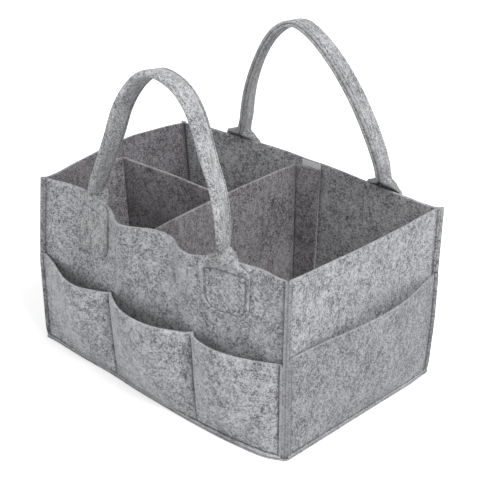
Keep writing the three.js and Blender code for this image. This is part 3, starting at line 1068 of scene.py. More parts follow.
@dataclass
class Side:
    """One side of the box in its own frame: along the wall, out from the middle, and up.

    Attributes:
        name: Name of the side.
        turn: Its turn about Z from the front, degrees.
        half: Half the wall's length.
        reach: Distance of the wall's outer face from the middle of the box.
        bow: How far the rim's middle leans out.
        pockets: The pockets of its strip.
        seed: Seed of the felt's unevenness.
        lip_rise: How much higher the pockets' lip stands at either end.
        painted_shades: How much the wall and the pockets are darkened with painted shade.
        inner_shaded: How much painted shade of the box's inside the wall's inner face gets.
        wide_margin: How far the foot's margin is drawn out, at shares of the half length, in millimetres.
        flange_dent_and_shade: How much of the corner seams' pull, their dent and painted shade, shows at either
            end.
    """

    name: str
    turn: int
    half: float
    reach: float
    bow: float
    pockets: tuple[Pocket, ...]
    seed: int
    lip_rise: tuple[float, float] = (0.0, 0.0)
    painted_shades: tuple[float, float] = (0.0, 0.0)
    inner_shaded: float = 1.0
    wide_margin: tuple = ((-1.0, 0.0), (1.0, 0.0))
    flange_dent_and_shade: tuple[float, float] = (1.0, 1.0)

    def __post_init__(self) -> None:
        """Work out the corner line and the felt's unevenness."""
        self.corner_along = self.half - FELT
        self.corner_out = self.reach - FELT
        self.uneven = waves(self.seed, 7, 6.0, 22.0)

    def world(
        self, along: np.ndarray, out: np.ndarray, height: np.ndarray, follow: np.ndarray | float = 1.0
    ) -> np.ndarray:
        """Place points of this side in the part's frame and settle them.

        Args:
            along: Places along the wall.
            out: Distances from the middle of the box.
            height: Heights.
            follow: How much of the walls' waves each point follows.

        Returns:
            The points, with x, y and z on the last axis.
        """
        cosine, sine = HEADINGS[self.turn]
        along, out, height = np.broadcast_arrays(along, out, height)
        points = np.stack([along * cosine + out * sine, along * sine - out * cosine, height], axis=-1)
        return SETTLED.apply(points, follow)

    def bow_at(self, along: np.ndarray, height: np.ndarray) -> np.ndarray:
        """Work out how far the wall leans out.

        Args:
            along: Places along the wall.
            height: Heights.

        Returns:
            The lean there, with the felt's unevenness.
        """
        share = np.clip(np.abs(along) / self.corner_along, 0, 1)
        rise = np.maximum(height - WALL_FOOT, 0) / (WALL_HEIGHT - WALL_FOOT)
        calm = smooth((self.corner_along - np.abs(along)) / (25 * MM)) * smooth(height / (40 * MM))
        return self.bow * (1 - share**2) * rise + 0.5 * MM * self.uneven(along, height) * calm

    def face(self, along: np.ndarray, height: np.ndarray) -> np.ndarray:
        """Give the wall's outer face."""
        return self.reach + self.bow_at(along, height)

    def margin_extra(self, along: np.ndarray) -> np.ndarray:
        """Give how much wider than its cut the margin at the foot is drawn out."""
        places, sizes = np.array(self.wide_margin).T
        return eased(along, places * self.half, sizes * MM)

    def gape_at(self, along: np.ndarray, height: np.ndarray) -> np.ndarray:
        """Work out how far the pocket panel stands off the wall.

        Args:
            along: Places along the wall.
            height: Heights.

        Returns:
            The distance there.
        """
        rise = np.clip((height - POCKET_FOOT) / (POCKET_HEIGHT - POCKET_FOOT), 0, 1)
        total = np.zeros(np.broadcast(along, height).shape)
        for pocket in self.pockets:
            share = np.clip((along - pocket.start) / (pocket.end - pocket.start), 0, 1) ** pocket.skew
            crown = np.maximum(np.sin(math.pi * share), 0) ** pocket.peak
            total = total + pocket.gape * crown * np.sin(math.pi / 2 * rise) ** 0.75
        return total

    def seams(self) -> list[float]:
        """Give the places of the upright pocket seams."""
        return [pocket.start for pocket in self.pockets[1:]]

    def lifted(self, along: np.ndarray | float, height: np.ndarray) -> np.ndarray:
        """Raise the rows of a pocket panel where its lip stands higher, and lower them at its seams.

        Args:
            along: Place or places along the wall.
            height: Heights of the rows in the cut shape.

        Returns:
            Their heights in the sewn strip.
        """
        share = (along / self.corner_along + 1) / 2
        top = self.lip_rise[0] + (self.lip_rise[1] - self.lip_rise[0]) * np.clip(share, 0, 1)
        top = top - sum(LIP_PULL * bell(along - seam, LIP_PULL_RUN) for seam in self.seams())
        return height + top * smooth((height - LIP_FOOT) / (POCKET_HEIGHT - LIP_FOOT))

    def corner_place(self, sign: int, run: np.ndarray | float, depth: float) -> tuple:
        """Give a place at a corner seam as along and out, from its run up the diagonal and its depth."""
        slant = math.sqrt(2)
        return sign * (self.corner_along + (run - depth) / slant), self.corner_out + (run + depth) / slant

    def layer(
        self, depth: float, out: float, height: np.ndarray, columns: np.ndarray, face: Field, lips: bool = False
    ) -> np.ndarray:
        """Lay one layer of felt across the side, from corner tip to corner tip.

        Args:
            depth: Distance of its middle from the corner's diagonal.
            out: Distance of its middle from the middle of the box, where it is flat.
            height: Heights of the rows.
            columns: Places along the wall between the creases.
            face: Gives how far out the middle stands, from a place and a height.
            lips: Whether the layer's top is a pocket's lip.

        Returns:
            The middle surface, shaped (columns, rows, 3), in the part's frame and settled.
        """

        def line(along: np.ndarray, reach: np.ndarray) -> np.ndarray:
            """Place one column, whose rows are raised where the layer has lips."""
            return self.world(along, reach, self.lifted(along, height) if lips else height)

        crease_run = math.sqrt(2) * (out - self.corner_out) - depth
        tip = SEAM_TIP_RUN - TIP_INSET * (1 - np.clip((height - WALL_FOOT) / TIP_ROUND, 0, 1)) ** 2
        runs = [crease_run + (tip - crease_run) * share for share in FLANGE_SHARES]
        lines = [line(*self.corner_place(-1, run, depth)) for run in runs]
        for along in self.between(depth, out, columns):
            places = np.full_like(height, along)
            lines.append(line(places, face(places, height)))
        lines += [line(*self.corner_place(1, run, depth)) for run in reversed(runs)]
        return np.stack(lines)

    def between(self, depth: float, out: float, columns: np.ndarray) -> np.ndarray:
        """Give a layer's places along the wall between its two creases.

        Args:
            depth: Distance of its middle from the corner's diagonal.
            out: Distance of its middle from the middle of the box.
            columns: Places that would do without the creases.

        Returns:
            The places, the first and last of them just beside the creases.
        """
        crease = self.corner_along + (out - self.corner_out) - math.sqrt(2) * depth
        inner = columns[(columns > -crease + 1.2 * MM) & (columns < crease - 1.2 * MM)]
        return np.array([-crease + CREASE_INSET, *inner, crease - CREASE_INSET])

    def wall_middle(self, along: np.ndarray, height: np.ndarray) -> np.ndarray:
        """Give how far out the middle of the wall's felt stands."""
        return self.face(along, height) - FELT / 2

    def wall(self) -> Panel:
        """Cut and shape the wall.

        Returns:
            Its panel.
        """
        columns = spread(-self.corner_along, self.corner_along, 4.6 * MM, soft=False)
        rows = spread(WALL_FOOT, WALL_HEIGHT, 4.6 * MM)
        grid = self.layer(WALL_SEAM_DEPTH, self.reach - FELT / 2, rows, columns, self.wall_middle)
        seams = self.corner_seams(grid.shape)
        return Panel(grid, self.pressed(grid.shape), seams, inner_shaded=self.inner_shaded, tone=self.painted_shades[0])

    def pressed(self, shape: tuple[int, ...]) -> np.ndarray:
        """Give the felt's thickness, pressed where the corner seams hold it.

        Args:
            shape: Shape of the layer's grid.

        Returns:
            The thickness at each station.
        """
        thickness = np.full(shape[:2], FELT)
        for column, size in enumerate(FLANGE_FELT):
            thickness[column] = thickness[-1 - column] = size
        return thickness

    def corner_seams(self, shape: tuple[int, ...]) -> np.ndarray:
        """Mark the columns where the corner seams pull the felt in, denting it and darkening it with painted
        shade.

        Args:
            shape: Shape of the layer's grid.

        Returns:
            Share of the pull, dent and painted shade, at each station.
        """
        seam = np.zeros(shape[:2])
        for column, pull in enumerate(FLANGE_DENTS_AND_SHADES):
            seam[column], seam[-1 - column] = (pull * share for share in self.flange_dent_and_shade)
        for column, pull in enumerate(CREASE_DENTS_AND_SHADES, len(FLANGE_DENTS_AND_SHADES)):
            seam[column] = seam[-1 - column] = pull
        return seam

    def pocket_columns(self) -> np.ndarray:
        """Place the pocket panel's stations, close together at its upright seams."""
        return spread(-self.corner_along, self.corner_along, 3.6 * MM, soft=False, marks=self.seams())

    def pocket_middle(self, along: np.ndarray, height: np.ndarray) -> np.ndarray:
        """Give how far out the middle of the pocket panel stands, dented at its seams."""
        dent = sum(bell(along - seam, 1.5 * MM) for seam in self.seams())
        return self.face(along, height) + GAP + FELT / 2 + self.gape_at(along, height) - SEAM_DENT * dent

    def pocket_panel(self) -> Panel:
        """Cut and shape the strip of pockets.

        Returns:
            Its panel.
        """
        columns = self.pocket_columns()
        rows = spread(POCKET_FOOT, POCKET_HEIGHT, 4.0 * MM)
        middle = self.reach + GAP + FELT / 2
        grid = self.layer(POCKET_SEAM_DEPTH, middle, rows, columns, self.pocket_middle, lips=True)
        marks = self.corner_seams(grid.shape)
        places = self.between(POCKET_SEAM_DEPTH, middle, columns)
        flange = len(FLANGE_SHARES)
        # The upright seams dent the felt and darken it with painted shade
        for seam in self.seams():
            marks[flange:-flange] += 0.85 * bell(places - seam, 1.2 * MM)[:, None]
        return Panel(grid, self.pressed(grid.shape), marks, tone=self.painted_shades[1])

    def margin(self) -> Panel:
        """Shape the wall's and pocket's margins, pressed together on the base's margin.

        Returns:
            Its panel.
        """
        outs = spread(self.reach + GAP, self.reach + RIM_REACH, 1.6 * MM)
        inset = math.sqrt(2) * 3.0 * MM
        shares = spread(-1.0, 1.0, 5 * MM / self.half)
        ends = self.corner_along + (outs - self.corner_out) - inset
        along = shares[:, None] * ends[None, :]
        wander = 0.35 * MM * self.uneven(along * 2.2, along * 0 + 0.3)
        wander = wander + self.margin_extra(along)
        out = np.broadcast_to(outs, along.shape) + wander * (outs - outs[0])[None, :] / (outs[-1] - outs[0])
        height = np.full_like(along, WALL_FOOT + MARGIN_HEIGHT / 2) + 0.25 * MM * self.uneven(along * 1.7, out)
        return Panel(self.world(along, out, height), thickness=MARGIN_HEIGHT)

    def corner_rows(self) -> list[StitchRow]:
        """Sew this side's face of both corner seams, over the pocket and over the wall.

        Returns:
            The rows of sewing.
        """
        rows = []
        for sign in (-1, 1):
            for depth, low, high in CORNER_SEWING:
                height = np.arange(low, high, 2 * MM)
                lines = [
                    self.world(*self.corner_place(sign, run, depth), height)
                    for run in (CORNER_STITCH_RUN, CORNER_STITCH_RUN + BESIDE)
                ]
                rows.append(sewn(*lines, self.outward(-sign)))
        return rows

    def outward(self, lean: float = 0.0) -> np.ndarray:
        """Give the direction out of this side, leaning along it by a share."""
        cosine, sine = HEADINGS[self.turn]
        return np.array([lean * cosine + sine, lean * sine - cosine, 0.0])

    def pocket_rows(self) -> list[StitchRow]:
        """Sew down the upright pocket seams, with a bar across each top.

        Returns:
            The rows of sewing.
        """
        rows = []
        height = np.arange(POCKET_FOOT + 3 * MM, POCKET_HEIGHT - 1 * MM, 2 * MM)
        for seam in self.seams():
            lines = [self.on_pocket(seam + step, height) for step in (0.0, 0.4 * MM)]
            rows.append(sewn(*lines, self.outward()))
            places = np.linspace(seam - 3 * MM, seam + 3 * MM, 5)
            bars = [np.array([POCKET_HEIGHT - down]) for down in (2.0 * MM, 2.6 * MM)]
            lines = [np.concatenate([self.on_pocket(place, bar) for place in places]) for bar in bars]
            rows.append(sewn(*lines, self.outward()))
        return rows

    def on_pocket(self, along: float, height: np.ndarray) -> np.ndarray:
        """Find points on the outer face of the pocket panel at one place along it.

        Args:
            along: The place.
            height: Heights in the cut shape.

        Returns:
            The settled points.
        """
        place = np.full_like(height, along)
        out = self.pocket_middle(place, height) + FELT / 2 - 0.1 * MM
        return self.world(place, out, self.lifted(along, height))

    def margin_rows(self) -> list[StitchRow]:
        """Sew along the foot, on top of the pressed margins.

        Returns:
            The one row of sewing.
        """
        end = self.half + 1.5 * MM
        along = np.arange(-end, end + 1 * MM, 3 * MM)
        top = np.full_like(along, WALL_FOOT + MARGIN_HEIGHT)
        outs = (MARGIN_STITCH_OUT, MARGIN_STITCH_OUT + BESIDE)
        return [sewn(*(self.world(along, self.reach + out, top) for out in outs), (0, 0, 1))]

    def thread_rows(self) -> list[StitchRow]:
        """Give all sewing of this side."""
        return self.corner_rows() + self.pocket_rows() + self.margin_rows()


@dataclass
class Box:
    """The sewn box: four walls, their pockets, the margins at the foot and the base."""

    sides: dict[str, Side] = field(
        default_factory=lambda: {
            "front": Side(
                name="front",
                turn=0,
                half=HALF_LENGTH,
                reach=HALF_WIDTH,
                bow=8 * MM,
                pockets=(
                    Pocket(-162 * MM, -POCKET_SEAM, 20.5 * MM, 1.68, 0.78),
                    Pocket(-POCKET_SEAM, POCKET_SEAM, 25 * MM, 1.25, 0.64),
                    Pocket(POCKET_SEAM, 162 * MM, 18 * MM, 0.8),
                ),
                seed=11,
                # Painted shade on the front wall
                painted_shades=(0.16, 0.0),
                inner_shaded=0.7,
                wide_margin=((-1, 0), (0, 0), (0.35, 0.8), (0.6, 2.2), (0.8, 2.6), (0.93, 1.6), (1, 0)),
            ),
            "right": Side(
                name="right",
                turn=90,
                half=HALF_WIDTH,
                reach=HALF_LENGTH,
                bow=3 * MM,
                pockets=(Pocket(-104.5 * MM, 104.5 * MM, 11.5 * MM, 1.4, 1.25),),
                seed=12,
                lip_rise=(4.2 * MM, 11 * MM),
                # Painted shade on the pockets
                painted_shades=(0.0, 0.5),
                flange_dent_and_shade=(1.0, 0.2),
            ),
            "back": Side(
                name="back",
                turn=180,
                half=HALF_LENGTH,
                reach=HALF_WIDTH,
                bow=8 * MM,
                pockets=(
                    Pocket(-162 * MM, -POCKET_SEAM, 18 * MM, 1.0),
                    Pocket(-POCKET_SEAM, POCKET_SEAM, 20 * MM, 1.1),
                    Pocket(POCKET_SEAM, 162 * MM, 21 * MM, 0.9),
                ),
                seed=13,
                inner_shaded=0.15,
            ),
            "left": Side(
                name="left",
                turn=-90,
                half=HALF_WIDTH,
                reach=HALF_LENGTH,
                bow=3 * MM,
                pockets=(Pocket(-104.5 * MM, 104.5 * MM, 10 * MM, 0.9),),
                seed=14,
            ),
        }
    )

    def base(self) -> Panel:
        """Shape the base, full thickness inside the walls and pressed thin at its margin.

        Returns:
            Its panel.
        """
        half_x, half_y = HALF_LENGTH + RIM_REACH, HALF_WIDTH + RIM_REACH
        seam_x, seam_y = HALF_LENGTH - BASE_SEAM_INSET, HALF_WIDTH - BASE_SEAM_INSET
        x = spread(-half_x, half_x, 5 * MM, marks=(-seam_x, seam_x))[:, None]
        y = spread(-half_y, half_y, 5 * MM, marks=(-seam_y, seam_y))[None, :]
        past = np.clip(np.abs(x) - (half_x - BASE_ROUND), 0, BASE_ROUND)
        limit = half_y - BASE_ROUND + np.sqrt(np.maximum(BASE_ROUND**2 - past**2, 0))
        y = y * (limit / half_y)
        x = np.broadcast_to(x, y.shape)
        inside = (np.abs(x) < HALF_LENGTH - BASE_STEP_INSET) & (np.abs(y) < HALF_WIDTH - BASE_STEP_INSET)
        thickness = np.where(inside, FELT, RIM_FELT)
        extra = self.sides["front"].margin_extra(x) * smooth((-y - HALF_WIDTH) / RIM_REACH)
        grid = SETTLED.apply(np.stack([x, y - extra, thickness / 2], axis=-1))
        grid[..., 2] = thickness / 2
        return Panel(grid, thickness=thickness)

    def build(self, wardrobe: Wardrobe) -> None:
        """Make the pieces of the box and attach them to its body.

        Args:
            wardrobe: The finishes.
        """
        for name, side in self.sides.items():
            places = ("_left", "_middle", "_right") if side.seams() else ("",)
            pockets = [f"{name}_pocket_panel{place}" for place in places]
            parts = {
                f"{name}_wall_felt": (side.wall(), [f"{name}_wall"]),
                f"{name}_pocket_felt": (side.pocket_panel(), pockets),
                f"{name}_margin_felt": (side.margin(), [f"{name}_base_margin"]),
            }
            for label, (panel, nodes) in parts.items():
                attach(felt_piece(label, (panel,), wardrobe.outer), "shell", "outer_felt", *nodes)
            thread = thread_piece(f"{name}_side_thread", side.thread_rows(), wardrobe.thread)
            attach(thread, "shell", "outer_felt")
        base = felt_piece("base_felt", (self.base(),), wardrobe.outer, 0)
        attach(base, "shell", "outer_felt", "bottom_panel")


def attach(piece: bpy.types.Object, body: str, slot: str, *nodes: str) -> None:
    """Let a piece ride on a body and hide the nodes it stands for.

    Args:
        piece: The finished piece.
        body: The body it rides on.
        slot: Its material slot in the record; not used.
        *nodes: The CAD nodes that it replaces.
    """
    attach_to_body(piece, body)
    if nodes:
        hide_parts(*nodes)
    LOG.info("%s rides on %s, %d faces", piece.name, body, len(piece.data.polygons))


# Handles


@dataclass
class Handle:
    """A carrying strip: two sewn tabs and an arch folded in half along its length.

    Attributes:
        side: The wall that it is sewn to.
        tabs: Middle of each tab along the wall.
        apex: Place of the arch's top along the wall.
        rise: Height of the arch's spine above the rim.
        roundness: For each leg, 1 for a straight slope and 2 for an ellipse.
        tuck: How far each leg steps in towards the middle just above its tab.
        lean: How far the top leans in over the box.
        twists: Turns of the folded strip from the first foot over the top to the last, degrees.
        bulge: How far the spine stands out where the strip folds.
        fold_top: Height above the rim where the strip is folded flat.
        tuck_run: Height above the rim where the legs have stepped in.
        wing_bow: How far each half bows out where it has turned half way.
        tab_painted_shade: How much darker the sewn tabs are than the arch, as painted shade.
        box_dent_and_shade: How deep the box seam of each tab sits in the felt, and how much painted shade its
            groove gets, as a share.
        twist_run: Height above the rim where a leg has taken its twist.
        foot_pinch: Share by which the last foot's outer half is drawn together at its fold.
    """

    side: Side
    tabs: tuple[float, float]
    apex: float
    rise: float
    roundness: tuple[float, float]
    tuck: tuple[float, float]
    lean: float
    twists: tuple[float, float, float, float, float]
    bulge: float = 9 * MM
    fold_top: float = 14 * MM
    tuck_run: float = 26 * MM
    wing_bow: float = 3 * MM
    tab_painted_shade: float = 0.3
    box_dent_and_shade: tuple[float, float] = (1.0, 1.0)
    twist_run: float = 10 * MM
    foot_pinch: float = 0.0

    def bend_at(self, rise: np.ndarray) -> np.ndarray:
        """Give how far each half of the strip has turned in, from flat to a quarter turn."""
        lifted = math.radians(20) * smooth((rise - FOLD_FOOT) / (-1.2 * FOLD_FOOT))
        return lifted + math.radians(70) * smooth((rise + 1 * MM) / (self.fold_top + 1 * MM))

    def stand_off(self, rise: np.ndarray) -> np.ndarray:
        """Give how far the spine stands out from the wall, its edges lying on the wall up to the rim."""
        edge = self.fold(np.full_like(rise, STRIP_HALF), self.bend_at(np.minimum(rise, 0.0)))[1]
        return edge + (self.bulge - edge) * smooth(rise / (12 * MM))

    def spine(self, turns: np.ndarray) -> tuple[np.ndarray, np.ndarray]:
        """Give the spine's places along the wall and above the rim.

        Args:
            turns: Places round the arch, from 0 at the first foot to pi at the last.

        Returns:
            The two arrays of places.
        """
        cosine, sine = np.cos(turns), np.maximum(np.sin(turns), 0.0)
        first = cosine > 0
        power = 2 / np.where(first, *self.roundness)
        rise = sine**power * self.rise
        step = np.where(first, self.tuck[0], -self.tuck[1]) * smooth(rise / self.tuck_run)
        foot = np.where(first, *self.tabs) + step
        along = self.apex + (foot - self.apex) * np.abs(cosine) ** power
        return along, rise

    def turns(self, near_step: float = 1.6 * MM, far_step: float = 3.4 * MM) -> np.ndarray:
        """Place the arch's stations at even steps along its spine, closer together at its feet.

        Args:
            near_step: Step at the feet.
            far_step: Step over the rest.

        Returns:
            Places round the arch, from 0 to pi.
        """
        fine = np.linspace(0, math.pi, 1600)
        travelled = distances(np.stack(self.spine(fine), axis=1))
        total = travelled[-1]
        near = np.arange(0, NEAR_RUN, near_step)
        far = np.linspace(NEAR_RUN, total - NEAR_RUN, int((total - 2 * NEAR_RUN) / far_step))
        return np.interp(np.concatenate([near, far, total - near[::-1]]), travelled, fine)

    def fold(self, width: np.ndarray, bend: np.ndarray) -> tuple[np.ndarray, np.ndarray]:
        """Give the middle line of the folded strip, whose halves bow out while they turn.

        Args:
            width: Places across the strip, from its spine.
            bend: How far each half has turned in.

        Returns:
            Distances across the spine, and in from it.
        """
        size = np.abs(width)
        curved = np.minimum(size, FOLD_ARC)
        rate = np.maximum(bend, 1e-4) / FOLD_ARC
        turning = np.sin(2 * bend)
        straight = (size - curved) * (1 - 0.2 * turning)
        bow = self.wing_bow * turning * np.sin(math.pi * np.clip(size / STRIP_HALF, 0, 1)) ** 2
        across = np.sin(rate * curved) / rate + straight * np.cos(bend) + bow * np.sin(bend)
        inward = (1 - np.cos(rate * curved)) / rate + straight * np.sin(bend) - bow * np.cos(bend)
        return np.sign(width) * across, inward

    def pinch(self, width: np.ndarray, rise: np.ndarray) -> np.ndarray:
        """Give how much narrower the outer half is drawn together where the last foot folds."""
        return 1 - self.foot_pinch * (width > 0) * bell(rise - 4 * MM, 8.5 * MM)

    def widths(self) -> np.ndarray:
        """Place the strip's stations across its width."""
        return np.array([-place for place in STRIP_PLACES[:0:-1]] + list(STRIP_PLACES)) * MM

    def tab_rows(self, centre: float, widths: np.ndarray) -> np.ndarray:
        """Lay one tab on the wall, in the wall's own frame.

        Args:
            centre: Its middle along the wall.
            widths: Stations across the strip.

        Returns:
            Places along, out and up, from its rounded foot up to the rim.
        """
        heights = spread(WALL_HEIGHT - TAB_DROP, WALL_HEIGHT, 1.6 * MM)[:-1, None]
        near = np.maximum(TAB_ROUND - (heights - heights[0]), 0.0)
        limit = STRIP_HALF - TAB_ROUND + np.sqrt(np.maximum(TAB_ROUND**2 - near**2, 0))
        bend = self.bend_at(heights - WALL_HEIGHT)
        across, inward = self.fold(widths[None, :], bend)
        if centre == self.tabs[1]:
            across = across * self.pinch(widths[None, :], heights - WALL_HEIGHT)
        along = centre + across * (np.maximum(limit, STRIP_HALF * 0.45) / STRIP_HALF)
        height = np.broadcast_to(heights, along.shape)
        lift = self.stand_off(heights - WALL_HEIGHT) - inward
        out = self.side.face(along, height) + GAP + FELT / 2 + lift
        return np.stack([along, out, height], axis=-1)

    def arch_rows(self, widths: np.ndarray, turns: np.ndarray) -> np.ndarray:
        """Lay the arch, in the wall's own frame.

        Args:
            widths: Stations across the strip.
            turns: Stations round the arch.

        Returns:
            Places along, out and up, shaped (turns, widths, 3).
        """
        along, rise = self.spine(turns)
        nearby = (np.clip(turns + step, 0, math.pi) for step in (-0.01, 0.01))
        before, after = (np.stack(self.spine(turn)) for turn in nearby)
        tangent = (after - before) / np.linalg.norm(after - before, axis=0)
        bend = self.bend_at(rise)
        stand_off = self.stand_off(rise)
        foot_out = self.side.reach + self.side.bow * 0.7 + GAP + FELT / 2
        spine_out = foot_out + stand_off - self.lean * rise / self.rise
        first, left, top, right, last = self.twists
        twists = np.array([first, left, left, top, right, right, last])
        twist = np.radians(eased(turns / math.pi, TWIST_PLACES, twists))
        twist = (twist * smooth(rise / self.twist_run))[:, None]
        across, inward = self.fold(widths[None, :], bend[:, None])
        last_foot = (turns > math.pi / 2)[:, None]
        across = across * np.where(last_foot, self.pinch(widths[None, :], rise[:, None]), 1.0)
        turned = across * np.cos(twist) - inward * np.sin(twist)
        inward = across * np.sin(twist) + inward * np.cos(twist)
        place = along[:, None] - tangent[1][:, None] * turned
        height = WALL_HEIGHT + rise[:, None] + tangent[0][:, None] * turned
        rest = self.side.face(place, np.full_like(place, WALL_HEIGHT)) + GAP + FELT / 2 + stand_off[:, None]
        settle = smooth(rise / (14 * MM))[:, None]
        out = rest * (1 - settle) + spine_out[:, None] * settle - inward
        return np.stack([place, out, height], axis=-1)

    def panel(self) -> Panel:
        """Sew the whole strip: one tab, the arch and the other tab.

        Returns:
            Its panel.
        """
        widths = self.widths()
        first = self.tab_rows(self.tabs[0], widths[::-1])
        last = self.tab_rows(self.tabs[1], widths)[::-1]
        arch = self.arch_rows(widths, self.turns())
        rows = np.concatenate([first, arch, last])
        boxes = [self.box_mark(*tab) for tab in zip((first, last), self.tabs, self.box_dent_and_shade)]
        # The edge stitching pulls the felt in: thinner, dented and darkened with painted shade
        edge = bell(np.abs(widths) - (STRIP_HALF - EDGE_STITCH_INSET), GROOVE)
        folded = smooth((self.spine(self.turns())[1] - 10 * MM) / (6 * MM))
        seam = np.concatenate([boxes[0], folded[:, None] * edge[None, :] * 0.7, boxes[1]])
        # Painted shade on the tabs, fading out above the rim
        tone = self.tab_painted_shade * (1 - smooth((rows[:, :1, 2] - WALL_HEIGHT) / (30 * MM)))
        grid = self.side.world(*np.moveaxis(rows, -1, 0))
        return Panel(grid, FELT - SEAM_PRESS * seam, seam, tone=tone)

    def box_mark(self, tab: np.ndarray, centre: float, depth: float) -> np.ndarray:
        """Mark where a tab's box seam pulls it in, denting and thinning it and darkening it with painted shade.

        Args:
            tab: Its stations, in the wall's own frame.
            centre: Its middle along the wall.
            depth: Share of the pull, dent and painted shade, on the seam's line.

        Returns:
            Share of the pull, dent and painted shade, at each station.
        """
        line = self.box_line()
        across, up = tab[..., 0] - centre, tab[..., 2]
        squares = (across[..., None] - line[:, 0]) ** 2 + (up[..., None] - line[:, 1]) ** 2
        return depth * bell(np.sqrt(np.min(squares, axis=-1)), GROOVE)

    def box_line(self) -> np.ndarray:
        """Draw the line of a tab's box stitch.

        Returns:
            Its points, as across and up.
        """
        inset = BOX_STITCH_INSET
        low, high = WALL_HEIGHT - TAB_DROP + inset, WALL_HEIGHT + FOLD_FOOT - 1 * MM
        return rounded_rectangle(STRIP_HALF - inset, low, high, TAB_ROUND - inset)

    def box_rows(self) -> list[StitchRow]:
        """Sew a box on each tab, on the strip and on the wall's inner face.

        Returns:
            The rows of sewing.
        """
        rows = []
        line = self.box_line()
        offs = (GAP + FELT - 0.4 * MM, -FELT + 0.05 * MM)
        for centre in self.tabs:
            lines = []
            for step in (0.0, BESIDE):
                along, height = centre + line[:, 0] + step, line[:, 1] + step
                face = self.side.face(along, height)
                lines.append([self.side.world(along, face + off, height) for off in offs])
            for path, beside, sign in zip(*lines, (1, -1)):
                rows.append(sewn(path, beside, sign * self.side.outward()))
        return rows

    def edge_rows(self) -> list[StitchRow]:
        """Sew both faces of the folded strip near its raw edges.

        Returns:
            The rows of sewing.
        """
        rows = []
        turns = self.turns()
        turns = turns[self.spine(turns)[1] > 14 * MM]
        widths = np.array([-1.0, -0.98, 0.98, 1.0]) * (STRIP_HALF - EDGE_STITCH_INSET)
        world = self.side.world(*np.moveaxis(self.arch_rows(widths, turns), -1, 0))
        for line, beside, other in ((0, 1, 3), (3, 2, 0)):
            path, normals = sewn(world[:, line], world[:, beside], (0, 0, 1))
            away = np.sign(np.sum(normals * (world[:, line] - world[:, other]), axis=1))[:, None]
            normals = normals * np.where(away == 0, 1, away)
            rows.append((path + normals * (FELT / 2 - 0.35 * MM), normals))
        return rows

    def thread_rows(self) -> list[StitchRow]:
        """Give all sewing of the strip."""
        return self.box_rows() + self.edge_rows()

    def build(self, wardrobe: Wardrobe) -> None:
        """Make the strip, which bends between the box and the handle's body.

        Args:
            wardrobe: The finishes.
        """
        name = self.side.name
        piece = felt_piece(f"{name}_handle_felt", (self.panel(),), wardrobe.handle, 0)
        low, high = HANDLE_BLEND
        out = -HALF_WIDTH if name == "front" else HALF_WIDTH
        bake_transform(piece, "shell", f"{name}_handle", start=(0, out, low), end=(0, out, high))
        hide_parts(f"{name}_handle", f"{name}_handle_tab_left", f"{name}_handle_tab_right")
        thread = thread_piece(f"{name}_handle_thread", self.thread_rows(), wardrobe.thread)
        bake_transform(thread, "shell", f"{name}_handle", start=(0, out, low), end=(0, out, high))
        LOG.info("%s bends between shell and %s_handle", piece.name, name)


# The divider insert


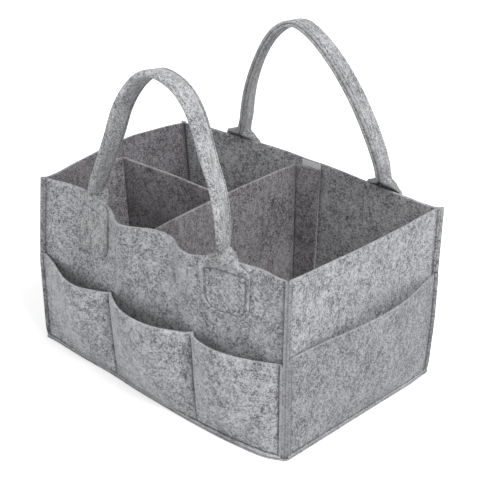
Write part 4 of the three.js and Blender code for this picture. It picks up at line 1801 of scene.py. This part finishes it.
@dataclass
class Insert:
    """The T-shaped divider: two upright panels whose ends fold into flaps on tape.

    Attributes:
        box: The box that it stands in.
        cross_bow: How far the cross panel bows to one side at places along it, in millimetres.
        cross_rise: How much higher than its cut it stands there.
    """

    box: Box
    cross_bow: tuple = (
        (-107, 0), (-70, -3.5), (-30, -7), (10, -8.5), (45, -7.5), (80, -4.5), (100, -0.8), (107, 0),
    )  # fmt: skip
    cross_rise: tuple = ((-107, 0), (0, 0.6), (40, 1.2), (70, 2.4), (90, 4.2), (107, 5.2))

    def top_rise(self, along: np.ndarray | float) -> np.ndarray:
        """Give how much higher than its cut the cross panel stands, pushed up at its back end."""
        return read_table(along, self.cross_rise)

    def bow_at(self, along: np.ndarray, height: np.ndarray) -> np.ndarray:
        """Give how far the cross panel bows to one side, most at its top."""
        return read_table(along, self.cross_bow) * smooth(height / (150 * MM))

    def inner(self, side: Side, along: np.ndarray, height: np.ndarray, offset: float) -> np.ndarray:
        """Give a surface inside a wall, some way off its inner face."""
        return side.face(along, height) - FELT - offset

    def strip(
        self,
        side: Side,
        start: float,
        end: float,
        foot: float,
        top: float,
        offset: float,
        thickness: float,
        fold: float | None = None,
    ) -> Panel:
        """Lay a flat piece along the inside of a wall.

        Args:
            side: The wall.
            start: Its start along the wall.
            end: Its end along the wall.
            foot: Its lower edge.
            top: Its upper edge.
            offset: Distance of its middle from the wall's inner face.
            thickness: Its thickness.
            fold: Place of the fold that it hangs from, or None where it is sewn to the wall.

        Returns:
            The settled panel.
        """
        along = spread(start, end, 2.4 * MM)[:, None]
        height = spread(foot, top, 4 * MM)[None, :]
        along, height = np.broadcast_arrays(along, height)
        follow = 1.0 if fold is None else smooth(np.abs(along - fold) / (20 * MM))
        grid = side.world(along, self.inner(side, along, height, offset), height, follow)
        if fold is not None:
            grid += self.room_to_lift(side, along, height, offset, follow)
        soft = min(0.5 * MM, thickness * 0.3)
        if fold is not None and thickness == FELT:
            soft = np.where(np.abs(along - fold) < 2 * MM, 0.0, soft)
        return Panel(grid, thickness=thickness, soft=soft)

    def room_to_lift(
        self, side: Side, along: np.ndarray, height: np.ndarray, offset: float, follow: np.ndarray
    ) -> np.ndarray:
        """Give how far a strip hangs in from a wall, so that it clears the rim when it is lifted out.

        Args:
            side: The wall.
            along: Stations along the wall.
            height: Their heights.
            offset: Distance of the strip's middle from the wall's inner face.
            follow: How much of the wall's waves each station follows.

        Returns:
            A shift for each station.
        """
        above = np.broadcast_to(RIM_CHECKS, (len(along), 2))
        path = np.concatenate([height, above], axis=1)
        places = np.concatenate([along, along[:, -2:]], axis=1)
        follows = np.concatenate([follow, follow[:, -2:]], axis=1)
        inner = self.inner(side, places, path, offset)
        reach = side.world(places, inner, path, follows) @ side.outward()
        held = np.minimum(reach, side.world(places, inner, path) @ side.outward())
        clear = np.minimum.accumulate(held[:, ::-1], axis=1)[:, ::-1]
        return (clear - reach)[:, :-2, None] * side.outward()

    def heights(self) -> np.ndarray:
        """Place the rows of the upright panels."""
        return spread(DIVIDER_FOOT, DIVIDER_HEIGHT, 5 * MM)

    def end_at(self, name: str, place: float, sign: int) -> np.ndarray:
        """Give where an upright panel ends at a wall.

        Args:
            name: Name of the wall's side.
            place: Where the panel meets it, along the wall.
            sign: Which way the wall lies from the middle, along the panel.

        Returns:
            The end at each height of the panel's rows.
        """
        heights = self.heights()
        return sign * self.inner(self.box.sides[name], np.full_like(heights, place), heights, END_OFFSET)

    def upright(self, first: np.ndarray, last: np.ndarray, across: tuple[float, float], seed: int) -> Panel:
        """Stand a divider panel on the base between two ends that may lean.

        Args:
            first: One end of the panel at each height of its rows.
            last: The other end at each height.
            across: Unit direction along the panel, in X and Y.
            seed: Seed of its slight waves.

        Returns:
            The settled panel.
        """
        heights = self.heights()
        shares = spread(0.0, 1.0, 0.03, soft=False)
        uneven = waves(seed, 5, 5.0, 14.0)
        along = first[None, :] + (last - first)[None, :] * shares[:, None]
        calm = np.sin(math.pi * shares)[:, None] ** 0.5
        off = 1.3 * MM * uneven(along, np.broadcast_to(heights, along.shape)) * calm
        x = along * across[0] + (CROSS_PLACE + off + self.bow_at(along, heights[None, :])) * across[1]
        y = along * across[1] + (LONG_PLACE + off) * across[0]
        stretch = 1 + across[1] * self.top_rise(along) / DIVIDER_HEIGHT * smooth(heights / DIVIDER_HEIGHT)
        return Panel(SETTLED.apply(np.stack([x, y, heights * stretch], axis=-1), 0.0))

    def build(self, wardrobe: Wardrobe) -> None:
        """Make the divider, its flaps and its tapes.

        Args:
            wardrobe: The finishes.
        """
        heights, felt = self.heights(), wardrobe.divider
        front, back = self.end_at("front", CROSS_PLACE, -1), self.end_at("back", -CROSS_PLACE, 1)
        cross_face = CROSS_PLACE - FELT / 2 - GAP + self.bow_at(np.full_like(heights, LONG_PLACE), heights)
        cross = self.upright(front, back, (0, 1), 21)
        attach(felt_piece("cross_divider_felt", (cross,), felt), "divider", "divider_felt", "cross_divider")
        long = self.upright(self.end_at("left", -LONG_PLACE, -1), cross_face, (1, 0), 22)
        attach(felt_piece("long_divider_felt", (long,), felt), "divider", "divider_felt", "long_divider")
        folds = (("front", CROSS_PLACE, 1), ("back", -CROSS_PLACE, -1), ("left", -LONG_PLACE, 1))
        for name, place, sign in folds:
            self.build_flap(name, place, sign, wardrobe)

    def build_flap(self, name: str, place: float, sign: int, wardrobe: Wardrobe) -> None:
        """Make one flap with its hook tape, and the loop tape on the wall behind it.

        Args:
            name: Name of the wall's side.
            place: Where the flap is folded from its panel, along the wall.
            sign: Which way along the wall it lies from there.
            wardrobe: The finishes.
        """
        side = self.box.sides[name]
        ends = sorted((place + sign * FLAP_START, place + sign * (FLAP_START + FLAP_LENGTH)))
        tape_start = FLAP_START + (FLAP_LENGTH - TAPE_WIDTH) / 2
        tapes = sorted((place + sign * tape_start, place + sign * (tape_start + TAPE_WIDTH)))
        rise = self.top_rise(CROSS_END) if name == "back" else 0.0
        foot, top = DIVIDER_FOOT + FLAP_FOOT, DIVIDER_HEIGHT + rise
        flap = self.strip(side, *ends, foot, top, FLAP_OFFSET, FELT, place)
        hook = self.strip(side, *tapes, HOOK_SPAN[0], HOOK_SPAN[1] + rise, HOOK_OFFSET, TAPE_FELT, place)
        loop = self.strip(side, *tapes, *LOOP_SPAN, LOOP_OFFSET, TAPE_FELT)
        body = f"{name}_flap"
        for label, panel, finish, rides_on, slot, node in (
            (f"{name}_flap_felt", flap, wardrobe.divider, body, "divider_felt", f"{name}_divider_flap"),
            (f"{name}_hook_strip", hook, wardrobe.hook, body, "hook_tape", f"{name}_hook_tape"),
            (f"{name}_loop_strip", loop, wardrobe.loop, "shell", "loop_tape", f"{name}_loop_tape"),
        ):
            attach(felt_piece(label, (panel,), finish), rides_on, slot, node)


# The studio


@dataclass(frozen=True)
class Lamp:
    """A soft area lamp aimed at the middle of the caddy."""

    name: str
    place: tuple[float, float, float]
    size: float
    power: float


@dataclass(frozen=True)
class Studio:
    """White floor and backdrop, soft lamps and the photograph's camera.

    Attributes:
        lamps: The lamps.
        camera_place: Place of the camera.
        camera_turn: Its turns about X, Y and Z, degrees.
        lens: Its focal length, millimetres.
        floor_glow: How brightly the floor glows for the camera.
        sky: Strength of the even light that falls, and of the white that the camera sees.
    """

    lamps: tuple[Lamp, ...] = (
        Lamp("key", (1.75, -0.35, 2.5), 1.3, 62.0),
        Lamp("front", (-0.9, -2.8, 0.75), 1.8, 19.0),
        Lamp("top", (0.2, 0.3, 2.8), 2.0, 4.0),
    )
    camera_place: tuple[float, float, float] = (0.89098, -0.93829, 0.74848)
    camera_turn: tuple[float, float, float] = (64.423, 0.0, 43.225)
    lens: float = 108.97
    floor_glow: float = 0.54
    sky: tuple[float, float] = (0.5, 1.0)

    def floor(self) -> None:
        """Lay the floor: plain white, with the object's soft shadow."""
        mesh = bmesh.new()
        bmesh.ops.create_grid(mesh, x_segments=8, y_segments=8, size=6.0)
        material, sheet = new_material("white_floor")
        strength = sheet.math("MULTIPLY", sheet.seen_rays(), self.floor_glow)
        matt = sheet.node("ShaderNodeBsdfDiffuse", {"Color": (0.8, 0.8, 0.8, 1)}).outputs[0]
        glow = sheet.node("ShaderNodeEmission", {"Color": (1, 1, 1, 1), "Strength": strength}).outputs[0]
        both = sheet.node("ShaderNodeAddShader", {0: matt, 1: glow}).outputs[0]
        sheet.node("ShaderNodeOutputMaterial", {"Surface": both})
        piece = finish_piece("studio_floor", mesh, material)

    def world(self) -> None:
        """Light the studio evenly, and show white behind the floor."""
        world = bpy.data.worlds.new("studio")
        bpy.context.scene.world = world
        world.use_nodes = True
        world.node_tree.nodes.clear()
        sheet = NodeSheet(world.node_tree)
        inputs = {"Value": sheet.seen_rays(), "To Min": self.sky[0], "To Max": self.sky[1]}
        strength = sheet.node("ShaderNodeMapRange", inputs).outputs["Result"]
        sky = sheet.node("ShaderNodeBackground", {"Color": (1, 1, 1, 1), "Strength": strength}).outputs[0]
        sheet.node("ShaderNodeOutputWorld", {"Surface": sky})

    def build(self) -> None:
        """Set up the floor, the world, the lamps and the camera."""
        scene = bpy.context.scene
        scene.view_settings.view_transform = "Standard"
        self.floor()
        self.world()
        for lamp in self.lamps:
            data = bpy.data.lights.new(lamp.name, "AREA")
            data.shape = "DISK"
            data.size = lamp.size
            data.energy = lamp.power
            made = bpy.data.objects.new(lamp.name, data)
            made.location = lamp.place
            aim = Vector(LAMP_TARGET) - Vector(lamp.place)
            made.rotation_euler = aim.to_track_quat("-Z", "Y").to_euler()
            scene.collection.objects.link(made)
        camera = bpy.data.cameras.new("camera")
        camera.lens = self.lens
        camera.sensor_width = 36.0
        made = bpy.data.objects.new("camera", camera)
        made.location = self.camera_place
        made.rotation_euler = tuple(math.radians(turn) for turn in self.camera_turn)
        scene.collection.objects.link(made)
        scene.camera = made
        LOG.info("studio ready")


def handles(box: Box) -> tuple[Handle, Handle]:
    """Describe the two handles, each at its own slight lean and twist.

    Args:
        box: The box that they are sewn to.

    Returns:
        The front handle and the back handle.
    """
    front = Handle(
        box.sides["front"],
        tabs=(-86.0 * MM, 97.6 * MM),
        apex=1.8 * MM,
        rise=149.3 * MM,
        roundness=(1.92, 2.17),
        tuck=(25.5 * MM, 7 * MM),
        tuck_run=92 * MM,
        lean=16.5 * MM,
        twists=(-8.0, 0.0, 10.0, 17.5, 24.0),
        bulge=10.5 * MM,
        fold_top=6.5 * MM,
        box_dent_and_shade=(0.45, 1.0),
        twist_run=5.5 * MM,
        foot_pinch=0.52,
    )
    back = Handle(
        box.sides["back"],
        tabs=(-96.5 * MM, 90.7 * MM),
        apex=-4.4 * MM,
        rise=150 * MM,
        roundness=(1.53, 1.82),
        tuck=(-3 * MM, 4.7 * MM),
        tuck_run=32 * MM,
        lean=23.2 * MM,
        twists=(-14.5, -10.6, -9.0, 19.0, 15.6),
        bulge=9 * MM,
        fold_top=12 * MM,
    )
    return front, back


def main() -> None:
    """Build the studio and every piece of the caddy."""
    logging.basicConfig(level=logging.INFO, format="%(name)s: %(message)s")
    Studio().build()
    wardrobe = Wardrobe()
    box = Box()
    box.build(wardrobe)
    for handle in handles(box):
        handle.build(wardrobe)
    Insert(box).build(wardrobe)


if __name__ == "__main__":
    main()
